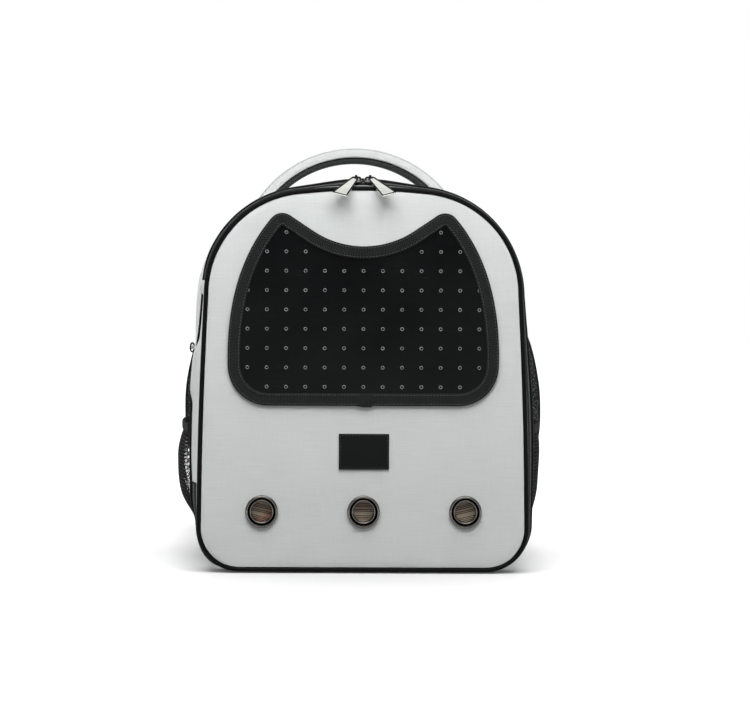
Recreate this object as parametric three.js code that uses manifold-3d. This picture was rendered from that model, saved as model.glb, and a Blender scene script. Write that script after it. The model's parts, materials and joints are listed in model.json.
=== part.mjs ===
import * as THREE from "three";
import { mergeVertices } from "three/addons/utils/BufferGeometryUtils.js";
import Module from "manifold-3d";

// Pet carrier backpack with a zip-round door, a cat-head window and two net side pockets.
// Millimetres, +Z up. The door faces -Y, the straps hang at +Y, and the base stands on z = 0.

// Driving dimensions
const GAP = 0.3;
const DOOR = {
  halfLow: 167.5, halfHigh: 160.5, bow: 1.45, bottom: 6, top: 396, corner: 40, shoulder: 104, crown: 600,
};
const DOOR_FRONT = -122;
const DOOR_THICK = 3;
const PIPING = { radius: 2.3, depth: -120.5, out: 2.7 };
const BAND = { front: -117.8, back: -95.5, frontOut: 4.6, thick: 1.6, coilHalf: 2.6, coilRise: 1 };
const RIM = { radius: 1.8, depth: -93.4, edge: 6.6, belly: 5.6, up: 110, rise: 5.2, bottom: 3.5, stand: 0.6 };
const HINGE = { low: 92, high: 302 };
const WALL = 2.5;
const BOTTOM_OUT = 6;
const BASE_THICK = 3;
const CORD_SIDES = 6;
const SHORTEST_STEP = 1;
const WELD = 1e-4;
const BACK = { front: 108.3, back: 118, edge: 3, bottom: 5.5 };

// The packed body bellies out low on its sides and rises at the middle of its top
const BELLY = { z: 150, down: 120 };
const CREST = { reach: 45 };

// Wall of the gusset from the door to the back: how far it stands out past the door's edge all round,
// what its sides and the middle of its top add to that, and how far up its belly reaches
const GUSSET_ROWS = [
  { depth: -91.2, edge: 7.3, belly: 5.6, up: 112, rise: 5 },
  { depth: -50, edge: 8.4, belly: 5.7, up: 220, rise: 3.3 },
  { depth: 0, edge: 9.3, belly: 5.8, up: 300, rise: 1.6 },
  { depth: 50, edge: 8.6, belly: 4.7, up: 300, rise: 0.6 },
  { depth: 88, edge: 6.8, belly: 2.4, up: 250, rise: 0.2 },
  { depth: 108, edge: 5, belly: 0.5, up: 120, rise: 0 },
];

// Cat-head window, measured to the outer edge of its tape
const WINDOW = {
  dipZ: 338.6, dipR: 94, dipTurn: 34,
  earX: 84.4, earZ: 358.5, earR: 14.5,
  sideX: 140.4, bulgeX: 142.5, bulgeZ: 312,
  bottom: 173.5, corner: 42,
};
const EAR_TURN = 39.5;

// Steps along each stretch of the two outlines
const BAG_STEPS = { bottom: 2, corner: 6, side: 6, shoulder: 8, crown: 4 };
const WINDOW_STEPS = { bottom: 2, corner: 6, side: 7, ear: 5, dip: 5 };

const TAPE = { width: 13, thick: 1.4 };
const FILM = { thick: 1, tuck: 1.5 };
const OPENING_INSET = 10;
const VENT = { pitch: 20, firstZ: 193, radius: 1.7, sides: 6 };

// Vent holes, row by row from the bottom, as columns counted from the middle
const VENT_ROWS = [
  { inner: 0, outer: 5 },
  { inner: 0, outer: 6 },
  { inner: 0, outer: 6 },
  { inner: 0, outer: 6 },
  { inner: 0, outer: 6 },
  { inner: 0, outer: 6 },
  { inner: 0, outer: 5 },
  { inner: 3, outer: 5 },
  { inner: 4, outer: 4 },
];

const LABEL = { x: 1, z: 126, width: 52, height: 37, thick: 1 };
const EYELET = {
  pitch: 105.5, x: 0.8, z: 62.8,
  outer: 17, hole: 10.6, barrel: 12.2, back: 15, flange: 1, holeSides: 20, sides: 18,
  rim: { r: 16.5, height: 1.92 }, crest: { r: 14.6, height: 3.2 }, lip: { r: 12.6, height: 2.88 },
  throat: 1.12,
};
const LINING = { halfWidth: 138, low: 38, high: 88, thick: 1.2 };

const HANDLE = {
  centreZ: 318.5, outer: 131.5, padInner: 121.3, webbingInner: 113.6, depth: 92, swing: 64, steps: 18,
};
const HANDLE_PAD = { width: 30, round: 4 };
const HANDLE_WEBBING = { width: 26, round: 1 };
const HANDLE_CUT = 60;

const SLIDER = { x: 7.3, length: 12, width: 9, nose: 6.12, height: 2.2, bevel: 0.5 };
const BRIDGE = { postX: 4.7, root: 1.3, rise: 5.2, wire: 0.9, sides: 8 };
const PULL = { length: 39, start: 1.9, neck: 5.4, foot: 13.5, thick: 2, splay: 29 };
const PULL_EYE = { outer: 2.5, hole: 1.5, length: 2.6, sides: 12 };
const PULL_FRAME = { edge: 1.6, top: 4.8, sink: 0.5 };

const POCKET = {
  front: -70, back: 78, low: 43, high: 141, fullness: 13, roundness: 0.7, wall: 1.5, steps: 10,
};
const HEM = { height: 9, wall: 2.6 };

// Swell of a side pocket from its bottom seam to its hem
const POCKET_ROWS = [
  { rise: 0, belly: 0 },
  { rise: 0.1, belly: 0.12 },
  { rise: 0.22, belly: 0.46 },
  { rise: 0.36, belly: 0.81 },
  { rise: 0.5, belly: 0.98 },
  { rise: 0.76, belly: 1 },
  { rise: 0.89, belly: 0.8 },
  { rise: 1, belly: 0.52 },
];

const RING = { z: 232, depth: -84, radius: 4.6, wire: 0.9, stand: 1, turn: 65, sides: 6, steps: 16 };
const TAB = { height: 4, slot: 3.2, reach: 4, slotEnd: 3.8, thick: 1 };

// Middle line of a shoulder strap, from the top seam down to its buckle;
// loose is its share of the sideways bow
const STRAP_ROWS = [
  { x: 60, y: 124.6, z: 378, width: 60, loose: 0 },
  { x: 69, y: 127, z: 356, width: 62, loose: 0 },
  { x: 106, y: 149, z: 302, width: 64, loose: 0.4 },
  { x: 147, y: 160, z: 232, width: 62, loose: 1 },
  { x: 163, y: 158, z: 180, width: 58, loose: 1 },
  { x: 167.3, y: 151.5, z: 136, width: 55, loose: 1 },
  { x: 168, y: 147, z: 109, width: 42, loose: 1 },
];
const STRAP_BOW = { left: 0, right: 27 };
const STRAP = { thick: 11, chamfer: 4, steps: 16 };
const BUCKLE = { width: 39, length: 28, thick: 4, bar: 4.5, clear: 5.8 };
const WEBBING = { width: 25, thick: 1.6, steps: 14 };

// Lower strap webbing, from below its buckle down to its seam on the back, with its share of the bow
const WEBBING_ROWS = [
  { x: 160, y: 128, z: 64, loose: 0.8 },
  { x: 153, y: 121, z: 49, loose: 0.5 },
  { x: 148, y: 119.4, z: 37, loose: 0.25 },
  { x: 145, y: 119.4, z: 24, loose: 0.1 },
];

// Colours
const LIGHT_GREY = 0xc4c8c7;
const PALE_GREY = 0xd8dad9;
const BLACK_CLOTH = 0x1d1f1f;
const BLACK_CORD = 0x141515;
const FILM_BLACK = 0x101213;
const GUNMETAL = 0x5a5a58;
const NICKEL = 0xc9cac4;
const BROWN_CLOTH = 0x5c5248;

const wasm = await Module();
wasm.setup();

const radians = THREE.MathUtils.degToRad;
const mix = THREE.MathUtils.lerp;

const group = new THREE.Group();
group.name = "pet_carrier_backpack";

function piece(name, geometry, color, roughness, metalness = 0) {
  const material = new THREE.MeshStandardMaterial({ color, roughness, metalness });
  const mesh = new THREE.Mesh(geometry, material);
  mesh.name = name;
  group.add(mesh);
  return mesh;
}

// Solids from rings, and cuts between solids
function facingOut(positions, index) {
  let volume = 0;
  const corner = (i) => new THREE.Vector3().fromArray(positions, 3 * i);
  for (let i = 0; i < index.length; i += 3) {
    volume += corner(index[i]).dot(corner(index[i + 1]).cross(corner(index[i + 2])));
  }
  const geometry = new THREE.BufferGeometry();
  geometry.setAttribute("position", new THREE.Float32BufferAttribute(positions, 3));
  geometry.setIndex(volume > 0 ? index : index.reverse());
  return geometry;
}

// Triangles that close a ring of n points, rung by rung from its first and last points to its middle
function cap(n, first, forward) {
  const index = [];
  for (let j = 0; j < n / 2 - 1; j++) {
    const [a, b, c, d] = [first + j, first + j + 1, first + n - 2 - j, first + n - 1 - j];
    index.push(...(forward ? [a, b, c, a, c, d] : [c, b, a, d, c, a]));
  }
  return index;
}

function loft(rings, closed) {
  const n = rings[0].length;
  const index = [];
  const last = closed ? rings.length : rings.length - 1;
  for (let i = 0; i < last; i++) {
    const a = i * n;
    const b = ((i + 1) % rings.length) * n;
    for (let j = 0; j < n; j++) {
      const k = (j + 1) % n;
      index.push(a + j, a + k, b + k, a + j, b + k, b + j);
    }
  }
  if (!closed) {
    index.push(...cap(n, 0, false));
    index.push(...cap(n, (rings.length - 1) * n, true));
  }
  return facingOut(rings.flat().flatMap((p) => [p.x, p.y, p.z]), index);
}

function solid(geometry) {
  const bare = geometry.clone();
  bare.deleteAttribute("normal");
  bare.deleteAttribute("uv");
  const merged = mergeVertices(bare, WELD);
  const mesh = new wasm.Mesh({
    numProp: 3,
    vertProperties: new Float32Array(merged.attributes.position.array),
    triVerts: new Uint32Array(merged.index.array),
  });
  return new wasm.Manifold(mesh);
}

function geometryOf(manifold) {
  const mesh = manifold.getMesh();
  const geometry = new THREE.BufferGeometry();
  geometry.setAttribute("position", new THREE.BufferAttribute(mesh.vertProperties, 3));
  geometry.setIndex(new THREE.BufferAttribute(mesh.triVerts, 1));
  return geometry;
}

// Outlines in the XZ plane, as stations with outward normals, walked anticlockwise as seen from the front
function arc(cx, cz, r, from, to, steps, hollow = false) {
  const side = hollow ? -1 : 1;
  return Array.from({ length: steps + 1 }, (_, i) => {
    const a = radians(mix(from, to, i / steps));
    const nx = Math.cos(a);
    const nz = Math.sin(a);
    return { x: cx + r * nx, z: cz + r * nz, nx: side * nx, nz: side * nz };
  });
}

function line(x0, z0, x1, z1, steps) {
  const length = Math.hypot(x1 - x0, z1 - z0);
  const nx = (z1 - z0) / length;
  const nz = -(x1 - x0) / length;
  return Array.from({ length: steps + 1 }, (_, i) => {
    const t = i / steps;
    return { x: mix(x0, x1, t), z: mix(z0, z1, t), nx, nz };
  });
}

// A side that bows outward a little between its ends
function bowedLine(x0, z0, x1, z1, bow, steps) {
  const out = (i) => bow * Math.sin((Math.PI * i) / steps);
  return line(x0, z0, x1, z1, steps).map((s, i) => ({ ...s, x: s.x + out(i) }));
}

// A whole outline from its right half, which runs from the bottom middle to the top middle
function bothHalves(stretches) {
  const right = stretches.flatMap((stretch, i) => (i ? stretch.slice(1) : stretch));
  const left = right.slice(1, -1).reverse().map((s) => ({ x: -s.x, z: s.z, nx: -s.nx, nz: s.nz }));
  return [...right, ...left];
}

// The crown arc meets the shoulder arc at a small lean, and the shoulders spring from the straight sides
const crownLean = Math.asin((DOOR.halfHigh - DOOR.shoulder) / (DOOR.crown - DOOR.shoulder));
const springZ = DOOR.top - DOOR.crown + (DOOR.crown - DOOR.shoulder) * Math.cos(crownLean);

function bagOutline() {
  const { halfLow, halfHigh, bow, bottom, top, corner, shoulder, crown } = DOOR;
  const turn = THREE.MathUtils.radToDeg(crownLean);
  return bothHalves([
    line(0, bottom, halfLow - corner, bottom, BAG_STEPS.bottom),
    arc(halfLow - corner, bottom + corner, corner, -90, 0, BAG_STEPS.corner),
    bowedLine(halfLow, bottom + corner, halfHigh, springZ, bow, BAG_STEPS.side),
    arc(halfHigh - shoulder, springZ, shoulder, 0, 90 - turn, BAG_STEPS.shoulder),
    arc(0, top - crown, crown, 90 - turn, 90, BAG_STEPS.crown),
  ]);
}

function windowOutline() {
  const { dipZ, dipR, dipTurn, earX, earZ, earR, sideX, bulgeX, bulgeZ, bottom, corner } = WINDOW;
  const ear = arc(earX, earZ, earR, EAR_TURN, 90 + dipTurn, WINDOW_STEPS.ear);
  const foot = new THREE.Vector2(sideX, bottom + corner);
  const side = new THREE.QuadraticBezierCurve(foot, new THREE.Vector2(bulgeX, bulgeZ),
    new THREE.Vector2(ear[0].x, ear[0].z));
  const sideStations = Array.from({ length: WINDOW_STEPS.side + 1 }, (_, i) => {
    const p = side.getPoint(i / WINDOW_STEPS.side);
    const t = side.getTangent(i / WINDOW_STEPS.side);
    return { x: p.x, z: p.y, nx: t.y, nz: -t.x };
  });
  return bothHalves([
    line(0, bottom, sideX - corner, bottom, WINDOW_STEPS.bottom),
    arc(sideX - corner, bottom + corner, corner, -90, 0, WINDOW_STEPS.corner),
    sideStations,
    ear,
    arc(0, dipZ + dipR, dipR, dipTurn - 90, -90, WINDOW_STEPS.dip, true),
  ]);
}

const moved = (stations, out) => stations.map((s) => new THREE.Vector2(s.x + s.nx * out, s.z + s.nz * out));

// A stretch of the outline between two distances along it, where a distance may start below 0
function measured(outline) {
  let run = 0;
  const marks = outline.map((s, i) => {
    const next = outline[(i + 1) % outline.length];
    const mark = { ...s, run, step: Math.hypot(next.x - s.x, next.z - s.z) };
    run += mark.step;
    return mark;
  });
  return { marks, total: run };
}

function stationAt({ marks, total }, distance) {
  const d = ((distance % total) + total) % total;
  const i = marks.findLastIndex((m) => m.run <= d);
  const a = marks[i];
  const b = marks[(i + 1) % marks.length];
  const t = (d - a.run) / a.step;
  return { x: mix(a.x, b.x, t), z: mix(a.z, b.z, t), nx: mix(a.nx, b.nx, t), nz: mix(a.nz, b.nz, t) };
}

function stretch(track, from, to) {
  const inside = [-track.total, 0].flatMap((shift) =>
    track.marks.filter(({ run }) => run + shift > from + SHORTEST_STEP && run + shift < to - SHORTEST_STEP));
  return [stationAt(track, from), ...inside, stationAt(track, to)];
}

function leftDistance({ marks }, z) {
  const i = marks.findIndex((m, k) => m.x < 0 && m.z >= z && marks[k + 1].z < z);
  return marks[i].run + (marks[i].step * (marks[i].z - z)) / (marks[i].z - marks[i + 1].z);
}

// A section of depth and standing-out values, carried along stations
function carry(stations, sectionAt, closed) {
  const rings = stations.map((s) =>
    sectionAt(s).map(([depth, out]) => new THREE.Vector3(s.x + s.nx * out, depth, s.z + s.nz * out)));
  return loft(rings, closed);
}

function cordSection(depth, out, radius, sides) {
  return Array.from({ length: sides }, (_, i) => {
    const a = (2 * Math.PI * (i + 0.5)) / sides;
    return [depth + radius * Math.cos(a), out + radius * Math.sin(a)];
  });
}

// A flat plate of the given outline between two depths
function plate(shape, front, back) {
  const geometry = new THREE.ExtrudeGeometry(shape, { depth: back - front, bevelEnabled: false });
  geometry.rotateX(Math.PI / 2);
  geometry.translate(0, back, 0);
  return geometry;
}

function roundHole(x, z, radius, sides) {
  const points = Array.from({ length: sides }, (_, i) => {
    const a = (-2 * Math.PI * i) / sides;
    return new THREE.Vector2(x + radius * Math.cos(a), z + radius * Math.sin(a));
  });
  return new THREE.Path(points);
}

const outline = bagOutline();
const track = measured(outline);
const windowStations = windowOutline();

// Standing-out of a rim or wall row past the door's edge
const bellied = (z, { belly, up }) =>
  belly * Math.exp(-(((z - BELLY.z) / (z > BELLY.z ? up : BELLY.down)) ** 2));
function standOut({ x, z, nx, nz }, row) {
  const level = nz < 0 ? row.bottom - row.edge : row.rise * Math.exp(-((x / CREST.reach) ** 2));
  return row.edge + bellied(z, row) * nx ** 4 + level * nz * nz;
}
const rimOut = (s) => standOut(s, RIM);

// Door panel with the window opening and the eyelet holes
const eyeletX = [-1, 0, 1].map((i) => EYELET.x + i * EYELET.pitch);
const doorShape = new THREE.Shape(moved(outline, 0));
doorShape.holes.push(new THREE.Path(moved(windowStations, -OPENING_INSET).reverse()));
eyeletX.forEach((x) => doorShape.holes.push(roundHole(x, EYELET.z, EYELET.barrel + GAP, EYELET.holeSides)));
piece("door_panel", plate(doorShape, DOOR_FRONT, DOOR_FRONT + DOOR_THICK), LIGHT_GREY, 0.85);

// Piping sewn round the door's edge
const doorCord = () => cordSection(PIPING.depth, PIPING.out, PIPING.radius, CORD_SIDES);
piece("door_piping", carry(outline, doorCord, true), BLACK_CORD, 0.5);

// Smoked window film, punched with vent holes, laid on the panel under the tape
const filmBack = DOOR_FRONT - GAP;
const filmFront = filmBack - FILM.thick;
const filmShape = new THREE.Shape(moved(windowStations, -FILM.tuck));
VENT_ROWS.forEach(({ inner, outer }, row) => {
  for (let column = -outer; column <= outer; column++) {
    if (Math.abs(column) < inner) continue;
    const z = VENT.firstZ + row * VENT.pitch;
    filmShape.holes.push(roundHole(column * VENT.pitch, z, VENT.radius, VENT.sides));
  }
});
piece("window_film", plate(filmShape, filmFront, filmBack), FILM_BLACK, 0.2);

// Woven tape round the window
const tapeBack = filmFront - GAP;
const tapeSection = () => [
  [tapeBack - TAPE.thick, 0],
  [tapeBack, 0],
  [tapeBack, -TAPE.width],
  [tapeBack - TAPE.thick, -TAPE.width],
];
piece("window_tape", carry(windowStations, tapeSection, true), BLACK_CLOTH, 0.8);

// Bare label sewn below the window
const labelGeometry = new THREE.BoxGeometry(LABEL.width, LABEL.thick, LABEL.height);
labelGeometry.translate(LABEL.x, DOOR_FRONT - GAP - LABEL.thick / 2, LABEL.z);
piece("label_patch", labelGeometry, BLACK_CLOTH, 0.8);

// Rolled metal eyelets, each with its barrel through the panel and a back flange
const eyeletSeat = GAP;
const eyeletTail = -DOOR_THICK - GAP;
const eyeletProfile = [
  [EYELET.hole, eyeletTail - EYELET.flange],
  [EYELET.back, eyeletTail - EYELET.flange],
  [EYELET.back, eyeletTail],
  [EYELET.barrel, eyeletTail],
  [EYELET.barrel, eyeletSeat],
  [EYELET.outer, eyeletSeat],
  [EYELET.rim.r, EYELET.rim.height],
  [EYELET.crest.r, EYELET.crest.height],
  [EYELET.lip.r, EYELET.lip.height],
  [EYELET.hole, EYELET.throat],
].map(([r, height]) => new THREE.Vector2(r, height));
eyeletX.forEach((x, i) => {
  const geometry = new THREE.LatheGeometry([...eyeletProfile, eyeletProfile[0]], EYELET.sides);
  geometry.rotateX(Math.PI);
  geometry.translate(x, DOOR_FRONT, EYELET.z);
  piece(`eyelet_${["left", "middle", "right"][i]}`, geometry, GUNMETAL, 0.3, 1);
});

// Striped cloth behind the eyelets
const liningFront = DOOR_FRONT + DOOR_THICK + EYELET.flange + 2 * GAP;
const liningGeometry = new THREE.BoxGeometry(2 * LINING.halfWidth, LINING.thick, LINING.high - LINING.low);
liningGeometry.translate(EYELET.x, liningFront + LINING.thick / 2, (LINING.low + LINING.high) / 2);
piece("vent_lining", liningGeometry, BROWN_CLOTH, 0.9);

// Zip band round the door, with its coil, from the low end of the hinge round to its high end
const hingeTop = leftDistance(track, HINGE.high);
const hingeBottom = leftDistance(track, HINGE.low);
const bandMiddle = (BAND.front + BAND.back) / 2;
const coilFront = bandMiddle - BAND.coilHalf;
const coilBack = bandMiddle + BAND.coilHalf;
const bandOut = (s, depth) => mix(BAND.frontOut, rimOut(s), (depth - BAND.front) / (BAND.back - BAND.front));
const zipSection = (s) => [
  [BAND.front, BAND.frontOut],
  [coilFront, bandOut(s, coilFront) + BAND.coilRise],
  [coilBack, bandOut(s, coilBack) + BAND.coilRise],
  [BAND.back, rimOut(s)],
  [BAND.back, rimOut(s) - BAND.thick],
  [coilBack, bandOut(s, coilBack) - BAND.thick],
  [coilFront, bandOut(s, coilFront) - BAND.thick],
  [BAND.front, BAND.frontOut - BAND.thick],
];
const zipStations = stretch(track, hingeBottom - track.total + GAP, hingeTop - GAP);
piece("zip_band", carry(zipStations, zipSection, false), BLACK_CLOTH, 0.8);

// Cloth hinge of the door on the left
const hingeSection = (s) => [
  [BAND.front, BAND.frontOut],
  [BAND.back, rimOut(s)],
  [BAND.back, rimOut(s) - BAND.thick],
  [BAND.front, BAND.frontOut - BAND.thick],
];
piece("door_hinge", carry(stretch(track, hingeTop, hingeBottom), hingeSection, false), LIGHT_GREY, 0.85);

// Piping round the body's front edge
const rimCord = (s) => cordSection(RIM.depth, rimOut(s) + RIM.stand, RIM.radius, CORD_SIDES);
piece("body_piping", carry(outline, rimCord, true), BLACK_CORD, 0.5);

// Gusset: the cloth wall of both sides and the top, open at the base
const baseEnd = DOOR.halfLow - DOOR.corner;
const gussetStations = stretch(track, baseEnd + GAP, track.total - baseEnd - GAP);
function gussetBody(grow, wall) {
  const section = (s) => {
    const outer = GUSSET_ROWS.map((row) => [row.depth, standOut(s, { ...row, bottom: BOTTOM_OUT }) + grow]);
    return [...outer, ...outer.map(([depth, out]) => [depth, out - wall]).reverse()];
  };
  return carry(gussetStations, section, false);
}
piece("gusset", gussetBody(0, WALL), LIGHT_GREY, 0.85);

// Flat stiff base between the gusset's ends
const gussetFront = GUSSET_ROWS[0].depth;
const gussetBack = GUSSET_ROWS.at(-1).depth;
const baseGeometry = new THREE.BoxGeometry(2 * baseEnd, gussetBack - gussetFront, BASE_THICK);
baseGeometry.translate(0, (gussetFront + gussetBack) / 2, BASE_THICK / 2);
piece("base_panel", baseGeometry, BLACK_CLOTH, 0.85);

// Padded back panel
const backRow = { ...GUSSET_ROWS.at(-1), bottom: BACK.bottom };
const backRings = [
  [BACK.front, -BACK.edge / 2],
  [BACK.front + BACK.edge / 2, 0],
  [BACK.back - BACK.edge, 0],
  [BACK.back, -BACK.edge],
].map(([depth, out]) => outline.map((s) => {
  const reach = standOut(s, backRow) + out;
  return new THREE.Vector3(s.x + s.nx * reach, depth, s.z + s.nz * reach);
}));
piece("back_panel", loft(backRings, false), BLACK_CLOTH, 0.9);

// Top handle: a padded arch over a webbing arch, both cut to the gusset they are sewn to
function arch(inner, outer, { width, round }) {
  const rings = Array.from({ length: HANDLE.steps + 1 }, (_, i) => {
    const a = radians(mix(-HANDLE.swing, HANDLE.swing, i / HANDLE.steps));
    const half = width / 2;
    const at = (r, y) =>
      new THREE.Vector3(r * Math.sin(a), HANDLE.depth + y, HANDLE.centreZ + r * Math.cos(a));
    return [
      at(inner, -half),
      at(outer - round, -half),
      at(outer, -half + round),
      at(outer, half - round),
      at(outer - round, half),
      at(inner, half),
    ];
  });
  return solid(loft(rings, false));
}
const gussetTool = solid(gussetBody(GAP, HANDLE_CUT));
const pad = arch(HANDLE.padInner, HANDLE.outer, HANDLE_PAD).subtract(gussetTool);
const webbing = arch(HANDLE.webbingInner, HANDLE.padInner - GAP, HANDLE_WEBBING).subtract(gussetTool);
piece("handle_pad", geometryOf(pad), PALE_GREY, 0.8);
piece("handle_webbing", geometryOf(webbing), BLACK_CLOTH, 0.8);

// Zip sliders at the top: a tapered body over the coil with a wire bridge along the zip
const topStation = { x: 0, z: DOOR.top, nx: 0, nz: 1 };
const bandSlope = Math.atan2(rimOut(topStation) - BAND.frontOut, BAND.back - BAND.front);
const coilTop = DOOR.top + bandOut(topStation, bandMiddle) + BAND.coilRise + 2 * GAP;

function bridge() {
  const { postX, root, rise, wire, sides } = BRIDGE;
  const path = [
    [-postX, root, 1, 0],
    [-postX, rise, Math.SQRT1_2, Math.SQRT1_2],
    [postX, rise, Math.SQRT1_2, -Math.SQRT1_2],
    [postX, root, 1, 0],
  ];
  const widen = [1, Math.SQRT2, Math.SQRT2, 1];
  return loft(path.map(([x, z, across, along], i) => Array.from({ length: sides }, (_, k) => {
    const a = (2 * Math.PI * k) / sides;
    const reach = wire * widen[i] * Math.cos(a);
    const turn = i < 2 ? 1 : -1;
    return new THREE.Vector3(x + turn * reach * across, wire * Math.sin(a), z - reach * Math.abs(along));
  })), false);
}

function slider() {
  const { length, width, nose, height, bevel } = SLIDER;
  const shape = new THREE.Shape([
    new THREE.Vector2(-length / 2, -nose / 2),
    new THREE.Vector2(-length / 4, -width / 2),
    new THREE.Vector2(length / 4, -width / 2),
    new THREE.Vector2(length / 2, -nose / 2),
    new THREE.Vector2(length / 2, nose / 2),
    new THREE.Vector2(length / 4, width / 2),
    new THREE.Vector2(-length / 4, width / 2),
    new THREE.Vector2(-length / 2, nose / 2),
  ]);
  const body = new THREE.ExtrudeGeometry(shape, {
    depth: height - 2 * bevel, bevelSize: bevel, bevelThickness: bevel, bevelOffset: -bevel, bevelSegments: 1,
  });
  body.translate(0, 0, bevel);
  return geometryOf(solid(body).add(solid(bridge())));
}

// Zip pulls: an eye round the bridge and a flared tab with a sunk face, leaning on the door's piping
const pivotY = bandMiddle - Math.sin(bandSlope) * BRIDGE.rise;
const pivotZ = coilTop + Math.cos(bandSlope) * BRIDGE.rise;
const cordY = pivotY - PIPING.depth;
const cordZ = pivotZ - (DOOR.top + PIPING.out);
const clear = PIPING.radius + PULL.thick / 2 + GAP;
const pullTilt = Math.atan2(cordZ, cordY) - Math.asin(clear / Math.hypot(cordY, cordZ));

function tabShape(inset, top) {
  const { length, start, neck, foot } = PULL;
  const end = length - inset;
  return new THREE.Shape([
    new THREE.Vector2(-neck / 2 + inset, -start - top),
    new THREE.Vector2(-foot / 2 + inset, -end),
    new THREE.Vector2(foot / 2 - inset, -end),
    new THREE.Vector2(neck / 2 - inset, -start - top),
  ]);
}

function pull(side) {
  const { thick, splay } = PULL;
  const flat = { depth: thick, bevelEnabled: false };
  const lean = side * radians(splay);
  const tab = new THREE.ExtrudeGeometry(tabShape(0, 0), flat).translate(0, 0, -thick / 2).rotateZ(lean);
  const face = new THREE.ExtrudeGeometry(tabShape(PULL_FRAME.edge, PULL_FRAME.top), flat).rotateZ(lean);
  face.translate(0, 0, thick / 2 - PULL_FRAME.sink);
  const rod = (r, length) =>
    solid(new THREE.CylinderGeometry(r, r, length, PULL_EYE.sides).rotateZ(Math.PI / 2));
  const eye = rod(PULL_EYE.outer, PULL_EYE.length);
  const bore = rod(PULL_EYE.hole, PULL.foot);
  const body = solid(tab).subtract(solid(face)).add(eye).subtract(bore);
  const geometry = geometryOf(body);
  geometry.rotateX(pullTilt);
  return geometry.translate(side * SLIDER.x, pivotY, pivotZ);
}

[["left", -1], ["right", 1]].forEach(([word, side]) => {
  const body = slider().rotateX(bandSlope).translate(side * SLIDER.x, bandMiddle, coilTop);
  piece(`zip_slider_${word}`, body, NICKEL, 0.3, 1);
  piece(`zip_pull_${word}`, pull(side), NICKEL, 0.25, 1);
});

// Side of the gusset at a depth and height, on the right
function sideX(depth, z) {
  const k = GUSSET_ROWS.findLastIndex((row) => row.depth <= depth);
  const a = GUSSET_ROWS[k];
  const b = GUSSET_ROWS[k + 1];
  const low = DOOR.bottom + DOOR.corner;
  const up = THREE.MathUtils.clamp((z - low) / (springZ - low), 0, 1);
  const half = mix(DOOR.halfLow, DOOR.halfHigh, up) + DOOR.bow * Math.sin(Math.PI * up);
  const out = (row) => row.edge + bellied(z, row);
  return half + mix(out(a), out(b), (depth - a.depth) / (b.depth - a.depth));
}

// Net side pockets with elastic hems, sewn to the gusset at the front, back and bottom
function pouch(side, heights, wall, stand) {
  const section = ({ z, belly }) => {
    const outer = [];
    const inner = [];
    for (let i = 0; i <= POCKET.steps; i++) {
      const u = mix(-1, 1, i / POCKET.steps);
      const depth = mix(POCKET.front, POCKET.back, i / POCKET.steps);
      const fullness = POCKET.fullness * belly * Math.pow(1 - u * u, POCKET.roundness);
      const x = sideX(depth, z) + stand + fullness;
      inner.push(new THREE.Vector3(side * x, depth, z));
      outer.push(new THREE.Vector3(side * (x + wall), depth, z));
    }
    return [...outer, ...inner.reverse()];
  };
  return loft(heights.map(section), false);
}

[["left", -1], ["right", 1]].forEach(([word, side]) => {
  const rows = POCKET_ROWS.map(({ rise, belly }) => ({ z: mix(POCKET.low, POCKET.high, rise), belly }));
  piece(`pocket_${word}`, pouch(side, rows, POCKET.wall, 2 * GAP), BLACK_CLOTH, 0.9);
  const rim = POCKET_ROWS.at(-1).belly;
  const hem = [GAP, GAP + HEM.height].map((up) => ({ z: POCKET.high + up, belly: rim }));
  piece(`pocket_hem_${word}`, pouch(side, hem, HEM.wall, 2 * GAP), BLACK_CLOTH, 0.85);
});

// Small wire ring on a folded cloth tab, on the left side
const tabX = sideX(RING.depth, RING.z) + 2 * GAP;
const ringGeometry = new THREE.TorusGeometry(RING.radius, RING.wire, RING.sides, RING.steps);
ringGeometry.rotateX(Math.PI / 2).translate(-RING.radius, 0, 0).rotateZ(radians(RING.turn));
ringGeometry.translate(-tabX - RING.stand, RING.depth, RING.z);
piece("side_ring", ringGeometry, BLACK_CORD, 0.4, 1);

const outside = TAB.slot / 2 + TAB.thick;
const tabOutline = new THREE.Shape([
  new THREE.Vector2(0, -outside),
  new THREE.Vector2(TAB.reach, -outside),
  new THREE.Vector2(TAB.reach + TAB.thick, 0),
  new THREE.Vector2(TAB.reach, outside),
  new THREE.Vector2(0, outside),
  new THREE.Vector2(0, TAB.slot / 2),
  new THREE.Vector2(TAB.slotEnd, TAB.slot / 2),
  new THREE.Vector2(TAB.slotEnd, -TAB.slot / 2),
  new THREE.Vector2(0, -TAB.slot / 2),
]);
const tabGeometry = new THREE.ExtrudeGeometry(tabOutline, { depth: TAB.height, bevelEnabled: false });
tabGeometry.rotateZ(Math.PI).translate(-tabX, RING.depth, RING.z - TAB.height / 2);
piece("ring_tab", tabGeometry, LIGHT_GREY, 0.85);

// Shoulder straps: a flat section carried down a curve, its width kept across the back
function ribbon(points, steps, sectionAt) {
  const curve = new THREE.CatmullRomCurve3(points);
  const frames = Array.from({ length: steps + 1 }, (_, i) => {
    const at = curve.getPoint(i / steps);
    const along = curve.getTangent(i / steps);
    const across = new THREE.Vector3(1, 0, 0).addScaledVector(along, -along.x).normalize();
    return { at, along, across, thick: new THREE.Vector3().crossVectors(along, across) };
  });
  const rings = frames.map((f, i) => sectionAt(i / steps).map(([w, t]) =>
    f.at.clone().addScaledVector(f.across, w).addScaledVector(f.thick, t)));
  return { geometry: loft(rings, false), end: frames.at(-1) };
}

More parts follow.
